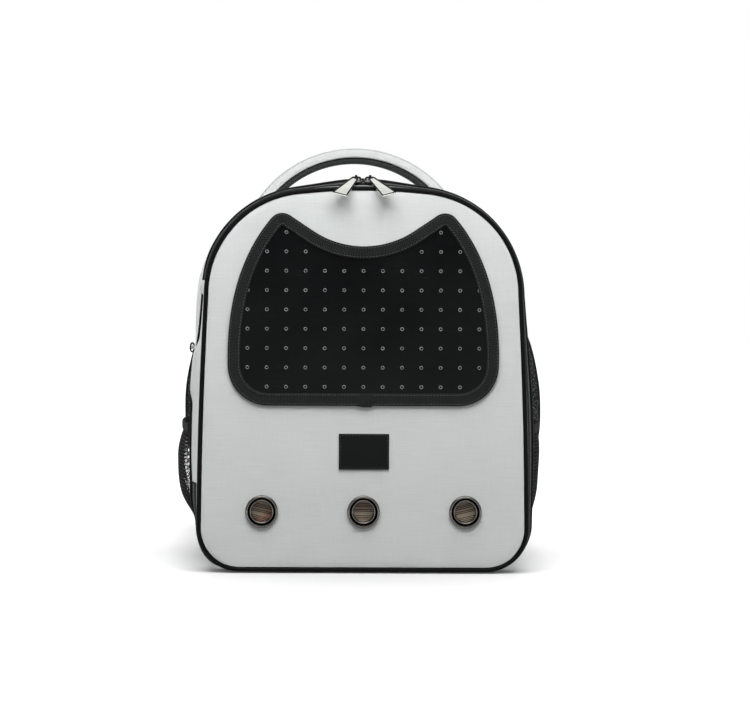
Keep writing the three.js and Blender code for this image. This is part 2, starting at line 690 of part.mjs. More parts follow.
[["left", -1], ["right", 1]].forEach(([word, side]) => {
  const bow = STRAP_BOW[word];
  const onSide = ({ x, y, z, loose }) => new THREE.Vector3(side * (x + loose * bow), y, z);
  const points = STRAP_ROWS.map(onSide);
  const half = STRAP.thick / 2;
  const padSection = (t) => {
    const k = Math.min(Math.floor(t * (STRAP_ROWS.length - 1)), STRAP_ROWS.length - 2);
    const w = mix(STRAP_ROWS[k].width, STRAP_ROWS[k + 1].width, t * (STRAP_ROWS.length - 1) - k) / 2;
    const c = STRAP.chamfer;
    return [[-w, 0], [c - w, half], [w - c, half], [w, 0], [w - c, -half], [c - w, -half]];
  };
  const strap = ribbon(points, STRAP.steps, padSection);
  piece(`strap_${word}`, strap.geometry, BLACK_CLOTH, 0.9);

  const { at, along, across, thick } = strap.end;
  const frame = new THREE.Shape([
    new THREE.Vector2(-BUCKLE.width / 2, 0),
    new THREE.Vector2(BUCKLE.width / 2, 0),
    new THREE.Vector2(BUCKLE.width / 2, BUCKLE.length),
    new THREE.Vector2(-BUCKLE.width / 2, BUCKLE.length),
  ]);
  const slotHalf = BUCKLE.width / 2 - BUCKLE.bar;
  frame.holes.push(new THREE.Path([
    new THREE.Vector2(-slotHalf, BUCKLE.bar),
    new THREE.Vector2(-slotHalf, BUCKLE.length - BUCKLE.bar),
    new THREE.Vector2(slotHalf, BUCKLE.length - BUCKLE.bar),
    new THREE.Vector2(slotHalf, BUCKLE.bar),
  ]));
  const buckle = new THREE.ExtrudeGeometry(frame, { depth: BUCKLE.thick, bevelEnabled: false });
  buckle.translate(0, GAP, -BUCKLE.thick / 2);
  const seat = new THREE.Matrix4().makeBasis(across, along, new THREE.Vector3().crossVectors(across, along));
  buckle.applyMatrix4(seat.setPosition(at));
  piece(`strap_buckle_${word}`, buckle, BLACK_CORD, 0.5);

  const flatHalf = WEBBING.width / 2;
  const thin = WEBBING.thick / 2;
  const tape = () => [[-flatHalf, -thin], [flatHalf, -thin], [flatHalf, thin], [-flatHalf, thin]];
  const inSlot = at.clone().addScaledVector(along, BUCKLE.length / 2);
  const pastBar = at.clone().addScaledVector(along, BUCKLE.length).addScaledVector(thick, BUCKLE.clear);
  const lower = WEBBING_ROWS.map(onSide);
  const webbingRun = ribbon([inSlot, pastBar, ...lower], WEBBING.steps, tape);
  piece(`strap_webbing_${word}`, webbingRun.geometry, BLACK_CLOTH, 0.85);
});

export default group;
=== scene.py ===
import json
import math

import bmesh
import bpy
import numpy as np
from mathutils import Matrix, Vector
from mathutils.geometry import delaunay_2d_cdt


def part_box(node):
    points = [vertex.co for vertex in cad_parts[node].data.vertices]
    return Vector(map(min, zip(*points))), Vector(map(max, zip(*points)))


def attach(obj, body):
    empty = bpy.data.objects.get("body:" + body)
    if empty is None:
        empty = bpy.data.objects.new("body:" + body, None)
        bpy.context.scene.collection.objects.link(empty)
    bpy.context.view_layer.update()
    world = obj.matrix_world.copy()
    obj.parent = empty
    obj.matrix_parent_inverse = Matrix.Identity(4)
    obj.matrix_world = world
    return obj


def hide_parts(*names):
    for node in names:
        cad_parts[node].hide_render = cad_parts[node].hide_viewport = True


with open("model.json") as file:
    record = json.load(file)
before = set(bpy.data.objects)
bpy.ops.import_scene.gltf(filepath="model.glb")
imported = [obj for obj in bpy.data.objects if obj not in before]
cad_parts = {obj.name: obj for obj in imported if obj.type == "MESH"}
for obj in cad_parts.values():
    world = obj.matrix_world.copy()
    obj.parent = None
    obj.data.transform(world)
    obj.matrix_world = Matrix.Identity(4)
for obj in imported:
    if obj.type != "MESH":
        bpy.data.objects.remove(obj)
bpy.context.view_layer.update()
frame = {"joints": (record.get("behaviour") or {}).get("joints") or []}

# Gusset: the cloth wall of both sides and the top, light grey oxford cloth over thin foam.
# It is one strip, sewn to the front rim and to the back panel, and it hangs a little slack between
# the two seams. Sizes are in millimetres throughout, and a mesh turns to metres as it is made.
MM = 0.001
GAP = 0.3
HALF_LOW, HALF_HIGH, SIDE_BOW, LOW, HIGH = 167.5, 160.5, 1.45, 6, 396
CORNER, SHOULDER, CROWN = 40, 104, 600
FINE_STEP = 3
BELLY_Z, BELLY_DOWN, CREST_REACH = 150, 120, 45
GUSSET_DEPTHS = (-91.2, -50, 0, 50, 88, 108)
GUSSET_EDGE = (7.3, 8.4, 9.3, 8.6, 6.8, 5)
GUSSET_BELLY = (5.6, 5.7, 5.8, 4.7, 2.4, 0.5)
GUSSET_UP = (112, 220, 300, 300, 250, 120)
GUSSET_RISE = (5, 3.3, 1.6, 0.6, 0.2, 0)
GUSSET_BOTTOM = 6
GUSSET_WALL = 2
GUSSET_STEP, GUSSET_ROWS, GUSSET_LINING_ROWS = 4, 56, 12
SEAM_ROLL, SEAM_ROLL_WIDTH, SEAM_HOLD = 1.4, 4, 22

# Each dent: how deep, waves a millimetre along the strip and from front to back, and where it starts
GUSSET_DENTS = ((1.1, 0.021, 0.034, 0.4), (0.7, 0.047, -0.025, 1.9), (0.35, 0.083, 0.061, 4.2))

# Puff of the cloth beside the hinge's upper half: how far it swells, where, and how far it reaches
PUFF, PUFF_Z, PUFF_UP, PUFF_DEPTH, PUFF_BACK = 2.6, 288, 36, -35, 45

# Tuck of the lower left side below the pocket: how far it goes in, where, and how far it reaches up and down
FOOT_TUCK, FOOT_TUCK_Z, FOOT_TUCK_UP, FOOT_TUCK_DOWN = 5.4, 48.5, 13.5, 24
LIGHT_GREY = (230, 233, 232)
LIGHT_GREY_SHADE = (211, 215, 214)
SHELL_THREAD, SHELL_RELIEF = 0.55, 0.12


def straight(a, b):
    """Points in the XZ plane from a to b, each with the outward normal on the right hand."""
    a, b = np.array(a, float), np.array(b, float)
    length = np.linalg.norm(b - a)
    shares = np.linspace(0, 1, max(2, round(length / FINE_STEP)) + 1)[:, None]
    along = (b - a) / length
    return np.hstack([a + shares * (b - a), np.tile([along[1], -along[0]], (len(shares), 1))])


def arc(centre, radius, start, stop, hollow=False):
    """Points in the XZ plane along an arc between two angles, each with its outward normal."""
    count = max(6, round(radius * math.radians(abs(stop - start)) / FINE_STEP))
    turn = np.radians(np.linspace(start, stop, count + 1))
    out = np.column_stack([np.cos(turn), np.sin(turn)])
    return np.hstack([np.array(centre) + radius * out, -out if hollow else out])


def bulging(line, bow):
    """A line's points moved out sideways, by the whole bow half way along it."""
    return line + np.sin(np.linspace(0, math.pi, len(line)))[:, None] * (bow, 0, 0, 0)


def run_of(points, loop=False):
    """Distance along a line of points, and on round to its start where it is a loop."""
    line = np.vstack([points, points[:1]]) if loop else points
    return np.concatenate([[0], np.cumsum(np.linalg.norm(np.diff(line, axis=0), axis=1))])


def unit(rows):
    """Vectors in rows, each made one long."""
    return rows / np.linalg.norm(rows, axis=1, keepdims=True)


def swell(values, middle, reach, power=2):
    """A smooth rise to 1 at a middle value, which fades over a reach."""
    return np.exp(-(((values - middle) / reach) ** power))


def waves(rows, along, across):
    """A sum of waves, each a row of its height, its turn a millimetre both ways and its start."""
    return sum(high * np.sin(a * along + b * across + start) for high, a, b, start in rows)


class Outline:
    """A closed line in the XZ plane, mirrored from its right half and measured along its length."""

    def __init__(self, stretches):
        right = np.vstack([stretch[1 if i else 0 :] for i, stretch in enumerate(stretches)])
        left = right[-2:0:-1] * (-1, 1, -1, 1)
        self.rows = np.vstack([right, left, right[:1]])
        self.run = run_of(self.rows[:, :2])
        self.length = self.run[-1]

    def cut(self, start, stop, step):
        """Distances and stations from one distance to another, about a step apart."""
        at = np.linspace(start, stop, max(2, round((stop - start) / step)) + 1)
        rows = np.column_stack([np.interp(at % self.length, self.run, column) for column in self.rows.T])
        rows[:, 2:] = unit(rows[:, 2:])
        return at, rows

    def loop(self, step):
        """The whole outline, with its last distance but not its repeated last station."""
        at, rows = self.cut(0, self.length - 1e-6, step)
        return at, rows[:-1]


def carried(rows, depth, out):
    """A section of depths and standings-out, one row of it for each station, as points."""
    flat = rows[:, None, :2] + rows[:, None, 2:] * out[:, :, None]
    return np.stack([flat[..., 0], np.broadcast_to(depth, out.shape), flat[..., 1]], axis=-1)


def mesh_of(name, points, faces, run):
    """A mesh in metres with its faces turned outward, and each corner's run in the UV map "run"."""
    mesh = bpy.data.meshes.new(name)
    mesh.from_pydata((np.asarray(points) * MM).tolist(), [], faces)
    mesh.uv_layers.new(name="run").data.foreach_set("uv", np.asarray(run, np.float32).ravel())
    turned = bmesh.new()
    turned.from_mesh(mesh)
    bmesh.ops.recalc_face_normals(turned, faces=turned.faces)
    turned.to_mesh(mesh)
    turned.free()
    mesh.polygons.foreach_set("use_smooth", [True] * len(mesh.polygons))
    mesh.set_sharp_from_angle(angle=math.radians(50))
    return mesh


def quads(rows, columns, loop=False):
    """Faces over rows of points: each row is closed, and the rows make a loop or end in two caps."""
    i, j = np.divmod(np.arange((rows - (not loop)) * columns), columns)
    k, m = (i + 1) % rows, (j + 1) % columns
    faces = (np.column_stack([i, k, k, i]) * columns + np.column_stack([j, j, m, m])).tolist()
    first = np.arange(columns)
    caps = [first.tolist(), (first + (rows - 1) * columns).tolist()]
    return faces if loop else faces + caps


def skin(name, grid, along, across=None, loop=False):
    """A closed mesh over a grid of points, whose run is the distance along and across it."""
    rows, columns = grid.shape[:2]
    across = run_of(grid[0], loop=True) if across is None else across
    i, j = np.divmod(np.arange((rows - (not loop)) * columns), columns)
    run_along = along[np.column_stack([i, i + 1, i + 1, i])]
    run_across = across[np.column_stack([j, j, j + 1, j + 1])]
    run = np.stack([run_along, run_across], axis=-1).reshape(-1, 2)
    if not loop:
        run = np.vstack([run, np.zeros((2 * columns, 2))])
    return mesh_of(name, grid.reshape(-1, 3), quads(rows, columns, loop), run)


def piece(name, mesh, material, nodes=(), body="bag"):
    """A finished piece that rides on a body and stands for the named solids."""
    made = bpy.data.objects.new(name, mesh)
    bpy.context.collection.objects.link(made)
    mesh.materials.append(material)
    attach(made, body)
    if nodes:
        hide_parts(*nodes)
    return made


class Wire:
    """A socket of a material. A sum of wires and numbers adds the Math nodes that work it out."""

    def __init__(self, socket):
        self.socket = socket

    def node(self, kind, settings, sockets, output=0):
        """Any other node: its settings are set first, then the values or links of its sockets."""
        tree = self.socket.id_data
        made = tree.nodes.new("ShaderNode" + kind)
        for key, value in settings.items():
            setattr(made, key, value)
        for key, value in sockets.items():
            if isinstance(value, Wire):
                tree.links.new(value.socket, made.inputs[key])
            else:
                made.inputs[key].default_value = value
        return Wire(made.outputs[output])

    def sum(self, operation, first, second=0.0):
        return self.node("Math", {"operation": operation}, {0: first, 1: second})

    def __add__(self, other):
        return self.sum("ADD", self, other)

    def __radd__(self, other):
        return self.sum("ADD", other, self)

    def __sub__(self, other):
        return self.sum("SUBTRACT", self, other)

    def __rsub__(self, other):
        return self.sum("SUBTRACT", other, self)

    def __mul__(self, other):
        return self.sum("MULTIPLY", self, other)

    def __rmul__(self, other):
        return self.sum("MULTIPLY", other, self)

    def __truediv__(self, other):
        return self.sum("DIVIDE", self, other)

    def __gt__(self, other):
        return self.sum("GREATER_THAN", self, other)

    def __lt__(self, other):
        return self.sum("LESS_THAN", self, other)

    def __abs__(self):
        return self.sum("ABSOLUTE", self)

    def sine(self):
        return self.sum("SINE", self)

    def ripple(self, pitch):
        """Up and down between 0 and 1, once in every pitch."""
        return (self * (2 * math.pi / pitch)).sine() * 0.5 + 0.5

    def ramp(self, start, stop, low, high):
        """From low to high as this wire goes from start to stop, and level past both."""
        return self.node("MapRange", {}, {"Value": self, 1: start, 2: stop, 3: low, 4: high})

    def zigzag(self, height):
        """Up and down again between 0 and a height, as a folded ruler runs."""
        return self.sum("PINGPONG", self, height)

    def stretched(self, along, across, through=1):
        """A vector wire scaled on each axis."""
        return self.node("VectorMath", {"operation": "MULTIPLY"}, {0: self, 1: (along, across, through)})

    def speckle(self, scale, detail=2):
        """Cloudy noise from 0 to 1 over a vector wire."""
        return self.node("TexNoise", {}, {"Vector": self, "Scale": scale, "Detail": detail})

    def between(self, first, second):
        """A colour from first to second as this wire goes from 0 to 1."""
        return self.node("Mix", {"data_type": "RGBA"}, {0: self, 6: first, 7: second}, 2)

    def feeds(self, socket):
        """Links this wire to its material's shader."""
        tree = self.socket.id_data
        tree.links.new(self.socket, tree.nodes["Principled BSDF"].inputs[socket])

    def bumps(self, height):
        """Raises the surface by a height in millimetres where this wire goes from 0 to 1."""
        sockets = {"Strength": 1.0, "Distance": height * MM, "Height": self}
        self.node("Bump", {}, sockets).feeds("Normal")


def srgb(colour):
    """A colour read off, 0 to 255, in linear light."""
    shares = np.array(colour) / 255
    return (*np.where(shares <= 0.04045, shares / 12.92, ((shares + 0.055) / 1.055) ** 2.4).tolist(), 1.0)


def finish(name, plain):
    """A new material and a wire from its shader. Plain values go on the shader's own sockets."""
    material = bpy.data.materials.new(name)
    material.use_nodes = True
    shader = material.node_tree.nodes["Principled BSDF"]
    for socket, value in plain.items():
        shader.inputs[socket].default_value = value
    return material, Wire(shader.outputs[0])


def runs(shade):
    """The run along and across a piece, in millimetres, and both as a vector."""
    run = shade.node("UVMap", {"uv_map": "run"}, {})
    return [run.node("SeparateXYZ", {}, {0: run}, axis) for axis in (0, 1)] + [run]


def oxford(name, shade_colour, colour, thread, relief, roughness=0.78, specular=0.25, edge=None):
    """Plain-woven cloth with uneven, streaky yarns, and maybe a band of another colour up to a reach across,
    which on the handle is painted shade.
    """
    material, shade = finish(name, {"Specular IOR Level": specular, "Sheen Weight": 0.08})
    along, across, run = runs(shade)
    warp = (along * (math.pi / thread)).sine()
    weft = (across * (math.pi / thread)).sine()
    over = warp * weft > 0
    weave = abs(weft) + over * (abs(warp) - abs(weft))
    slub = run.stretched(0.03, 1.1).speckle(1, 3)
    cross_slub = run.stretched(0.9, 0.04).speckle(1, 2)
    cloud = run.speckle(0.02, 3)
    yarn = slub * 0.7 + cross_slub * 0.3
    tone = yarn * 1.2 + cloud * 0.5 + weave * 0.25 - 0.48
    cloth = tone.between(srgb(shade_colour), srgb(colour))
    if edge:
        cloth = (across < edge[0]).between(cloth, srgb(edge[1]))
    cloth.feeds("Base Color")
    (roughness + 0.12 * yarn - 0.06).feeds("Roughness")
    (weave * 0.6 + yarn * 0.7).bumps(relief)
    return material


def bellied(z, belly, up):
    """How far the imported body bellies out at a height, where its belly reaches up by so much."""
    return belly * swell(z, BELLY_Z, np.where(z > BELLY_Z, up, BELLY_DOWN))


def standing(stations, edge, belly, up, rise, bottom):
    """How far a rim or wall stands out past the door's edge: it bellies at the sides and rises at the top."""
    x, z, aside, lift = np.moveaxis(stations, -1, 0)
    level = np.where(lift < 0, bottom - edge, rise * swell(x, 0, CREST_REACH))
    return edge + bellied(z, belly, up) * aside**4 + level * lift**2


def foot_tuck(z):
    """How far the left side of the body tucks in at a height."""
    return FOOT_TUCK * swell(z, FOOT_TUCK_Z, np.where(z > FOOT_TUCK_Z, FOOT_TUCK_UP, FOOT_TUCK_DOWN))


def gusset_at(depth):
    """The gusset's edge, its belly and how far up that reaches, and its rise, at a depth."""
    rows = (GUSSET_EDGE, GUSSET_BELLY, GUSSET_UP, GUSSET_RISE)
    return [np.polyval(np.polyfit(GUSSET_DEPTHS, row, 4), depth) for row in rows]


def wall_out(stations, depth):
    """How far the gusset stands out past the door's edge."""
    tuck = foot_tuck(stations[..., 1]) * (stations[..., 0] < 0)
    return standing(stations, *gusset_at(depth), GUSSET_BOTTOM) - tuck


lean = math.degrees(math.asin((HALF_HIGH - SHOULDER) / (CROWN - SHOULDER)))
spring = HIGH - CROWN + (CROWN - SHOULDER) * math.cos(math.radians(lean))
bag_edge = Outline(
    [
        straight((0, LOW), (HALF_LOW - CORNER, LOW)),
        arc((HALF_LOW - CORNER, LOW + CORNER), CORNER, -90, 0),
        bulging(straight((HALF_LOW, LOW + CORNER), (HALF_HIGH, spring)), SIDE_BOW),
        arc((HALF_HIGH - SHOULDER, spring), SHOULDER, 0, 90 - lean),
        arc((0, HIGH - CROWN), CROWN, 90 - lean, 90),
    ]
)

base_end = HALF_LOW - CORNER
gusset_run, gusset_stations = bag_edge.cut(base_end + GAP, bag_edge.length - base_end - GAP, GUSSET_STEP)
front_seam, back_seam = GUSSET_DEPTHS[0], GUSSET_DEPTHS[-1]
outside = np.linspace(front_seam, back_seam, GUSSET_ROWS)
inside = np.linspace(back_seam, front_seam, GUSSET_LINING_ROWS)
seam_distance = np.minimum(outside - front_seam, back_seam - outside)
dent_depth = sum(dent[0] for dent in GUSSET_DENTS)
dents = (waves(GUSSET_DENTS, gusset_run[:, None], outside) - dent_depth) / 2
held = 1 - np.exp(-seam_distance / SEAM_HOLD)
slack = dents * held - SEAM_ROLL * np.exp(-seam_distance / SEAM_ROLL_WIDTH)
puff_up = swell(gusset_stations[:, 1], PUFF_Z, PUFF_UP) * (gusset_stations[:, 0] < 0)
slack += PUFF * puff_up[:, None] * swell(outside, PUFF_DEPTH, PUFF_BACK)
each_station = gusset_stations[:, None]
lined = wall_out(each_station, inside) - GUSSET_WALL - dent_depth
gusset_out = np.hstack([wall_out(each_station, outside) + slack, lined])
gusset_grid = carried(gusset_stations, np.concatenate([outside, inside]), gusset_out)
shell_cloth = oxford("shell_cloth", LIGHT_GREY_SHADE, LIGHT_GREY, SHELL_THREAD, SHELL_RELIEF)
gusset_mesh = skin("gusset_cloth", gusset_grid, gusset_run)
piece("gusset_cloth", gusset_mesh, shell_cloth, ["gusset"])

# Base panel: a stiff board in black coated cloth that closes the bottom of the bag.
# It lies flat between the two ends of the gusset, with rolled edges.
# Its cover is stitched round near the edge.
BASE_THICK, BASE_ROLL, BASE_STITCH_INSET = 3, 1.2, 8
STITCH_LENGTH, STITCH_PITCH, STITCH_RADIUS, THREAD_TWIST = 2.5, 3.4, 0.32, 0.7
COAT_BLACK, COAT_SHADE = (30, 32, 32), (22, 23, 23)
COAT_THREAD, COAT_RELIEF, COAT_ROUGH, COAT_SHINE = 0.7, 0.15, 0.55, 0.35
THREAD_BLACK = (52, 54, 53)


def raised(outline, low, thick):
    """A block of an outline, so thick above a low level, that is still being worked on."""
    made = bmesh.new()
    floor_face = made.faces.new([made.verts.new((x, y, low)) for x, y in outline])
    lifted = bmesh.ops.extrude_face_region(made, geom=[floor_face])["geom"]
    tops = [v for v in lifted if isinstance(v, bmesh.types.BMVert)]
    bmesh.ops.translate(made, vec=(0, 0, thick), verts=tops)
    return made


def rolled(made, roll, steps=3):
    """Rolls every edge of a block."""
    bmesh.ops.bevel(made, geom=made.edges[:], offset=roll, segments=steps, profile=0.5, affect="EDGES")


def shape_of(made):
    """The points and faces of a block that is finished with."""
    made.verts.index_update()
    points = np.array([v.co[:] for v in made.verts])
    faces = [[v.index for v in face.verts] for face in made.faces]
    made.free()
    return points, faces


def tablet(outline, thick, roll, steps=3):
    """A flat block of an outline, standing on z = 0, with rolled edges: its points and faces."""
    made = raised(outline, 0, thick)
    rolled(made, roll, steps)
    return shape_of(made)


def oblong(x, y, width, height):
    """The four corners of a rectangle about a middle point."""
    return [(x + sx * width / 2, y + sy * height / 2) for sx, sy in ((-1, -1), (1, -1), (1, 1), (-1, 1))]


def shaped(name, points, faces, run):
    """A mesh of points and faces, from one run for each point."""
    return mesh_of(name, points, faces, np.vstack([run[face] for face in faces]))


def stitch_shape():
    """One stitch along x: a short thread that dips into the cloth at both ends."""
    spans = np.array([-1, -0.85, -0.4, 0.4, 0.85, 1]) * STITCH_LENGTH / 2
    widths = np.array([0.3, 0.85, 1, 1, 0.85, 0.3]) * STITCH_RADIUS
    rises = np.array([-0.6, 0.1, 0.5, 0.5, 0.1, -0.6]) * STITCH_RADIUS
    turn = np.arange(6) * math.pi / 3
    rings = [
        [(x, wide * math.cos(a), rise + wide * math.sin(a)) for a in turn]
        for x, wide, rise in zip(spans, widths, rises)
    ]
    return np.array(rings).reshape(-1, 3), quads(len(spans), len(turn))


def strewn(shape, places, axes):
    """Many copies of one small shape, each at its place and turned to its own three axes."""
    points, faces = shape
    spread = places[:, None, :] + points @ axes
    starts = np.arange(len(places)) * len(points)
    return spread.reshape(-1, 3), [[v + start for v in face] for start in starts for face in faces]


def stitch_places(path, up, loop=False, pitch=STITCH_PITCH):
    """Where stitches go along a line of points, and the axes of each; up points out of the cloth."""
    run = run_of(path, loop)
    line = np.vstack([path, path[:1]]) if loop else path
    ups = np.broadcast_to(up, path.shape)
    ups = np.vstack([ups, ups[:1]]) if loop else ups
    at = (np.arange(int(run[-1] / pitch)) + 0.5) * run[-1] / int(run[-1] / pitch)

    def sample(values, distance):
        return np.column_stack([np.interp(distance, run, column) for column in values.T])

    along = unit(sample(line, at + pitch / 4) - sample(line, at - pitch / 4))
    aside = unit(np.cross(sample(ups, at), along))
    return sample(line, at), np.stack([along, aside, np.cross(along, aside)], axis=1)


def stitching(name, lines, material):
    """Rows of stitches as one piece."""
    places = np.vstack([line[0] for line in lines])
    axes = np.vstack([line[1] for line in lines])
    points, faces = strewn(stitch_shape(), places, axes)
    return piece(name, shaped(name, points, faces, points[:, [0, 2]]), material)


def thread(name, colour):
    """Twisted sewing thread."""
    material, shade = finish(name, {"Specular IOR Level": 0.3})
    along, across, _ = runs(shade)
    twist = (along + across).ripple(THREAD_TWIST)
    dark = tuple(0.6 * c for c in colour)
    twist.between(srgb(dark), srgb(colour)).feeds("Base Color")
    (0.75 - 0.15 * twist).feeds("Roughness")
    return material


base_low, base_high = (np.array(corner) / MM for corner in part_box("base_panel"))
base_middle = (base_low + base_high) / 2
base_size = base_high - base_low
base_points, base_faces = tablet(oblong(*base_middle[:2], *base_size[:2]), BASE_THICK, BASE_ROLL)
coated_cloth = oxford(
    "coated_cloth", COAT_SHADE, COAT_BLACK, COAT_THREAD, COAT_RELIEF, COAT_ROUGH, COAT_SHINE
)
base_mesh = shaped("base_cover", base_points, base_faces, base_points[:, :2])
piece("base_cover", base_mesh, coated_cloth, ["base_panel"])

black_thread = thread("black_thread", THREAD_BLACK)
base_seam = np.array(oblong(*base_middle[:2], *(base_size[:2] - 2 * BASE_STITCH_INSET)))
base_seam = np.column_stack([base_seam, np.full(len(base_seam), base_high[2])])
stitching("base_stitching", [stitch_places(base_seam, (0, 0, 1), loop=True)], black_thread)

# Back panel: a foam pad under black spacer mesh that lies against the wearer's back.
# It is sewn all round to the gusset and rolled at the edge.
# One line of quilting inside the edge lets the middle swell.
BACK_FRONT, BACK_BACK, BACK_BOTTOM, BACK_STEP = 108.3, 118, 5.5, 5
BACK_CENTRE_Z, BACK_EDGE_BAND, BACK_EDGE_RINGS, BACK_RINGS = 200, 36, 22, 26
BACK_RING_GAP, BACK_TO_MIDDLE = 6, 0.9995
BACK_EDGE_ROLL, QUILT_INSET, QUILT_DEPTH, QUILT_WIDTH = 7, 26, 2.6, 4
SPACER_PITCH, SPACER_RELIEF = 3.2, 0.5
MESH_BLACK, MESH_HOLE, MESH_PAINTED_GLINT = (34, 36, 36), (12, 13, 13), (128, 130, 130)


def spacer_mesh(name, pitch, relief, glint=1):
    """Knitted spacer fabric: a soft black face full of small round holes, with painted pale glints above a
    level.
    """
    material, shade = finish(name, {"Specular IOR Level": 0.2, "Sheen Weight": 0.15})
    along, across, run = runs(shade)
    rows = ((along + across) * (math.pi / pitch)).sine()
    columns = ((along - across) * (math.pi / pitch)).sine()
    face = 1 - (rows * columns * 0.5 + 0.5) * (rows * columns > -0.2)
    fuzz = run.speckle(1.4, 3)
    knit = (face * 0.75 + fuzz * 0.25).between(srgb(MESH_HOLE), srgb(MESH_BLACK))
    # Where a noise passes the level, pale specks are painted on as glints.
    (run.speckle(0.9, 0) > glint).between(knit, srgb(MESH_PAINTED_GLINT)).feeds("Base Color")
    (0.8 + 0.15 * fuzz).feeds("Roughness")
    (face + fuzz * 0.3).bumps(relief)
    return material


def pad_depth(inset):
    """Depth of the pad's back at an inset from its edge: rolled at the edge, drawn in at the quilting."""
    swollen = (BACK_BACK - BACK_FRONT) * (1 - np.exp(-inset / BACK_EDGE_ROLL))
    return BACK_FRONT + swollen - QUILT_DEPTH * swell(inset, QUILT_INSET, QUILT_WIDTH)


back_run, back_stations = bag_edge.loop(BACK_STEP)
back_out = standing(back_stations, *gusset_at(back_seam), BACK_BOTTOM)
back_rim = back_stations[:, :2] + back_stations[:, 2:] * back_out[:, None]
back_centre = np.array([0, BACK_CENTRE_Z])
reach = np.linalg.norm(back_rim - back_centre, axis=1)[:, None]
near_edge = np.linspace(0, BACK_EDGE_BAND**0.5, BACK_EDGE_RINGS) ** 2
toward_middle = np.linspace(BACK_EDGE_BAND + BACK_RING_GAP, BACK_TO_MIDDLE * reach[:, 0], BACK_RINGS, axis=1)
ring_inset = np.hstack([np.tile(near_edge, (len(reach), 1)), toward_middle])
toward = (back_rim - back_centre)[:, None, :] * (1 - ring_inset / reach)[..., None] + back_centre
back_grid = np.stack([toward[..., 0], pad_depth(ring_inset), toward[..., 1]], axis=-1)
flat_back = back_grid[:, ::-1].copy()
flat_back[..., 1] = BACK_FRONT
back_grid = np.concatenate([back_grid, flat_back[:, 1:-1]], axis=1)
spacer = spacer_mesh("spacer_mesh", SPACER_PITCH, SPACER_RELIEF)
back_mesh = skin("back_pad", back_grid, back_run, loop=True)
flat_run = [back_mesh.vertices[corner.vertex_index].co.xz[:] for corner in back_mesh.loops]
back_mesh.uv_layers["run"].data.foreach_set("uv", np.array(flat_run, np.float32).ravel() / MM)
back_pad = piece("back_pad", back_mesh, spacer, ["back_panel"])

quilt_line = back_centre + (back_rim - back_centre) * (1 - QUILT_INSET / reach)
quilt_depth = np.full(len(quilt_line), pad_depth(QUILT_INSET))
quilt_path = np.column_stack([quilt_line[:, 0], quilt_depth, quilt_line[:, 1]])
stitching("back_stitching", [stitch_places(quilt_path, (0, 1, 0), loop=True)], black_thread)

# Body piping: a cord wrapped in bias-cut black cloth, sewn into the seam round the body's front edge.
# The wrap is tight, so it shows as a round black bead with a soft shine.
RIM_RADIUS, RIM_DEPTH, RIM_STAND = 1.8, -93.4, 0.6
RIM_EDGE, RIM_BELLY, RIM_UP, RIM_RISE, RIM_BOTTOM = 6.6, 5.6, 110, 5.2, 3.5
RIM_TUCK, RIM_TUCK_Z, RIM_TUCK_UP, RIM_CORNER = 2, 272, 42, 19.6
CORD_STEP, CORD_SIDES, CORD_UNEVEN, CORD_SHORT_WAVE, CORD_LONG_WAVE = 3, 14, 0.02, 0.21, 0.067
PIPING_TWILL = 0.9
PIPING_BLACK, PIPING_SHADE = (12, 12, 12), (3, 4, 4)


def piping_cloth(name):
    """Bias-cut binding: a fine twill that runs slantwise round the cord."""
    material, shade = finish(name, {"Specular IOR Level": 0.07})
    along, across, run = runs(shade)
    twill = (along + across).ripple(PIPING_TWILL)
    wear = run.stretched(0.2, 0.5).speckle(1, 3)
    (twill * 0.5 + wear * 0.5).between(srgb(PIPING_SHADE), srgb(PIPING_BLACK)).feeds("Base Color")
    (0.38 + 0.18 * wear).feeds("Roughness")
    twill.bumps(0.05)
    return material


def rim_out(stations):
    """How far the front rim stands out past the door's edge: tucked in on the left, full at low corners."""
    x, z, aside, lift = np.moveaxis(stations, -1, 0)
    tuck = RIM_TUCK * swell(z, RIM_TUCK_Z, RIM_TUCK_UP, 4) + foot_tuck(z)
    corner = RIM_CORNER * np.minimum(lift, 0) ** 4 * aside**2
    return standing(stations, RIM_EDGE, RIM_BELLY, RIM_UP, RIM_RISE, RIM_BOTTOM) - tuck * (x < 0) + corner


def cord_out(stations):
    """How far out the middle of the body's cord lies."""
    return rim_out(stations) + RIM_STAND


def cord_round(name, depth, out, radius, nodes):
    """A piping cord carried all round the bag's outline."""
    run, stations = bag_edge.loop(CORD_STEP)
    turn = np.arange(CORD_SIDES) * 2 * math.pi / CORD_SIDES
    wander = np.sin(run[:-1] * CORD_SHORT_WAVE) * np.sin(run[:-1] * CORD_LONG_WAVE)
    uneven = radius * (1 + CORD_UNEVEN * wander)[:, None]
    grid = carried(stations, depth + uneven * np.cos(turn), out(stations[:, None]) + uneven * np.sin(turn))
    return piece(name, skin(name, grid, run, loop=True), piping_binding, nodes)


piping_binding = piping_cloth("piping_binding")
cord_round("body_cord", RIM_DEPTH, cord_out, RIM_RADIUS, ["body_piping"])
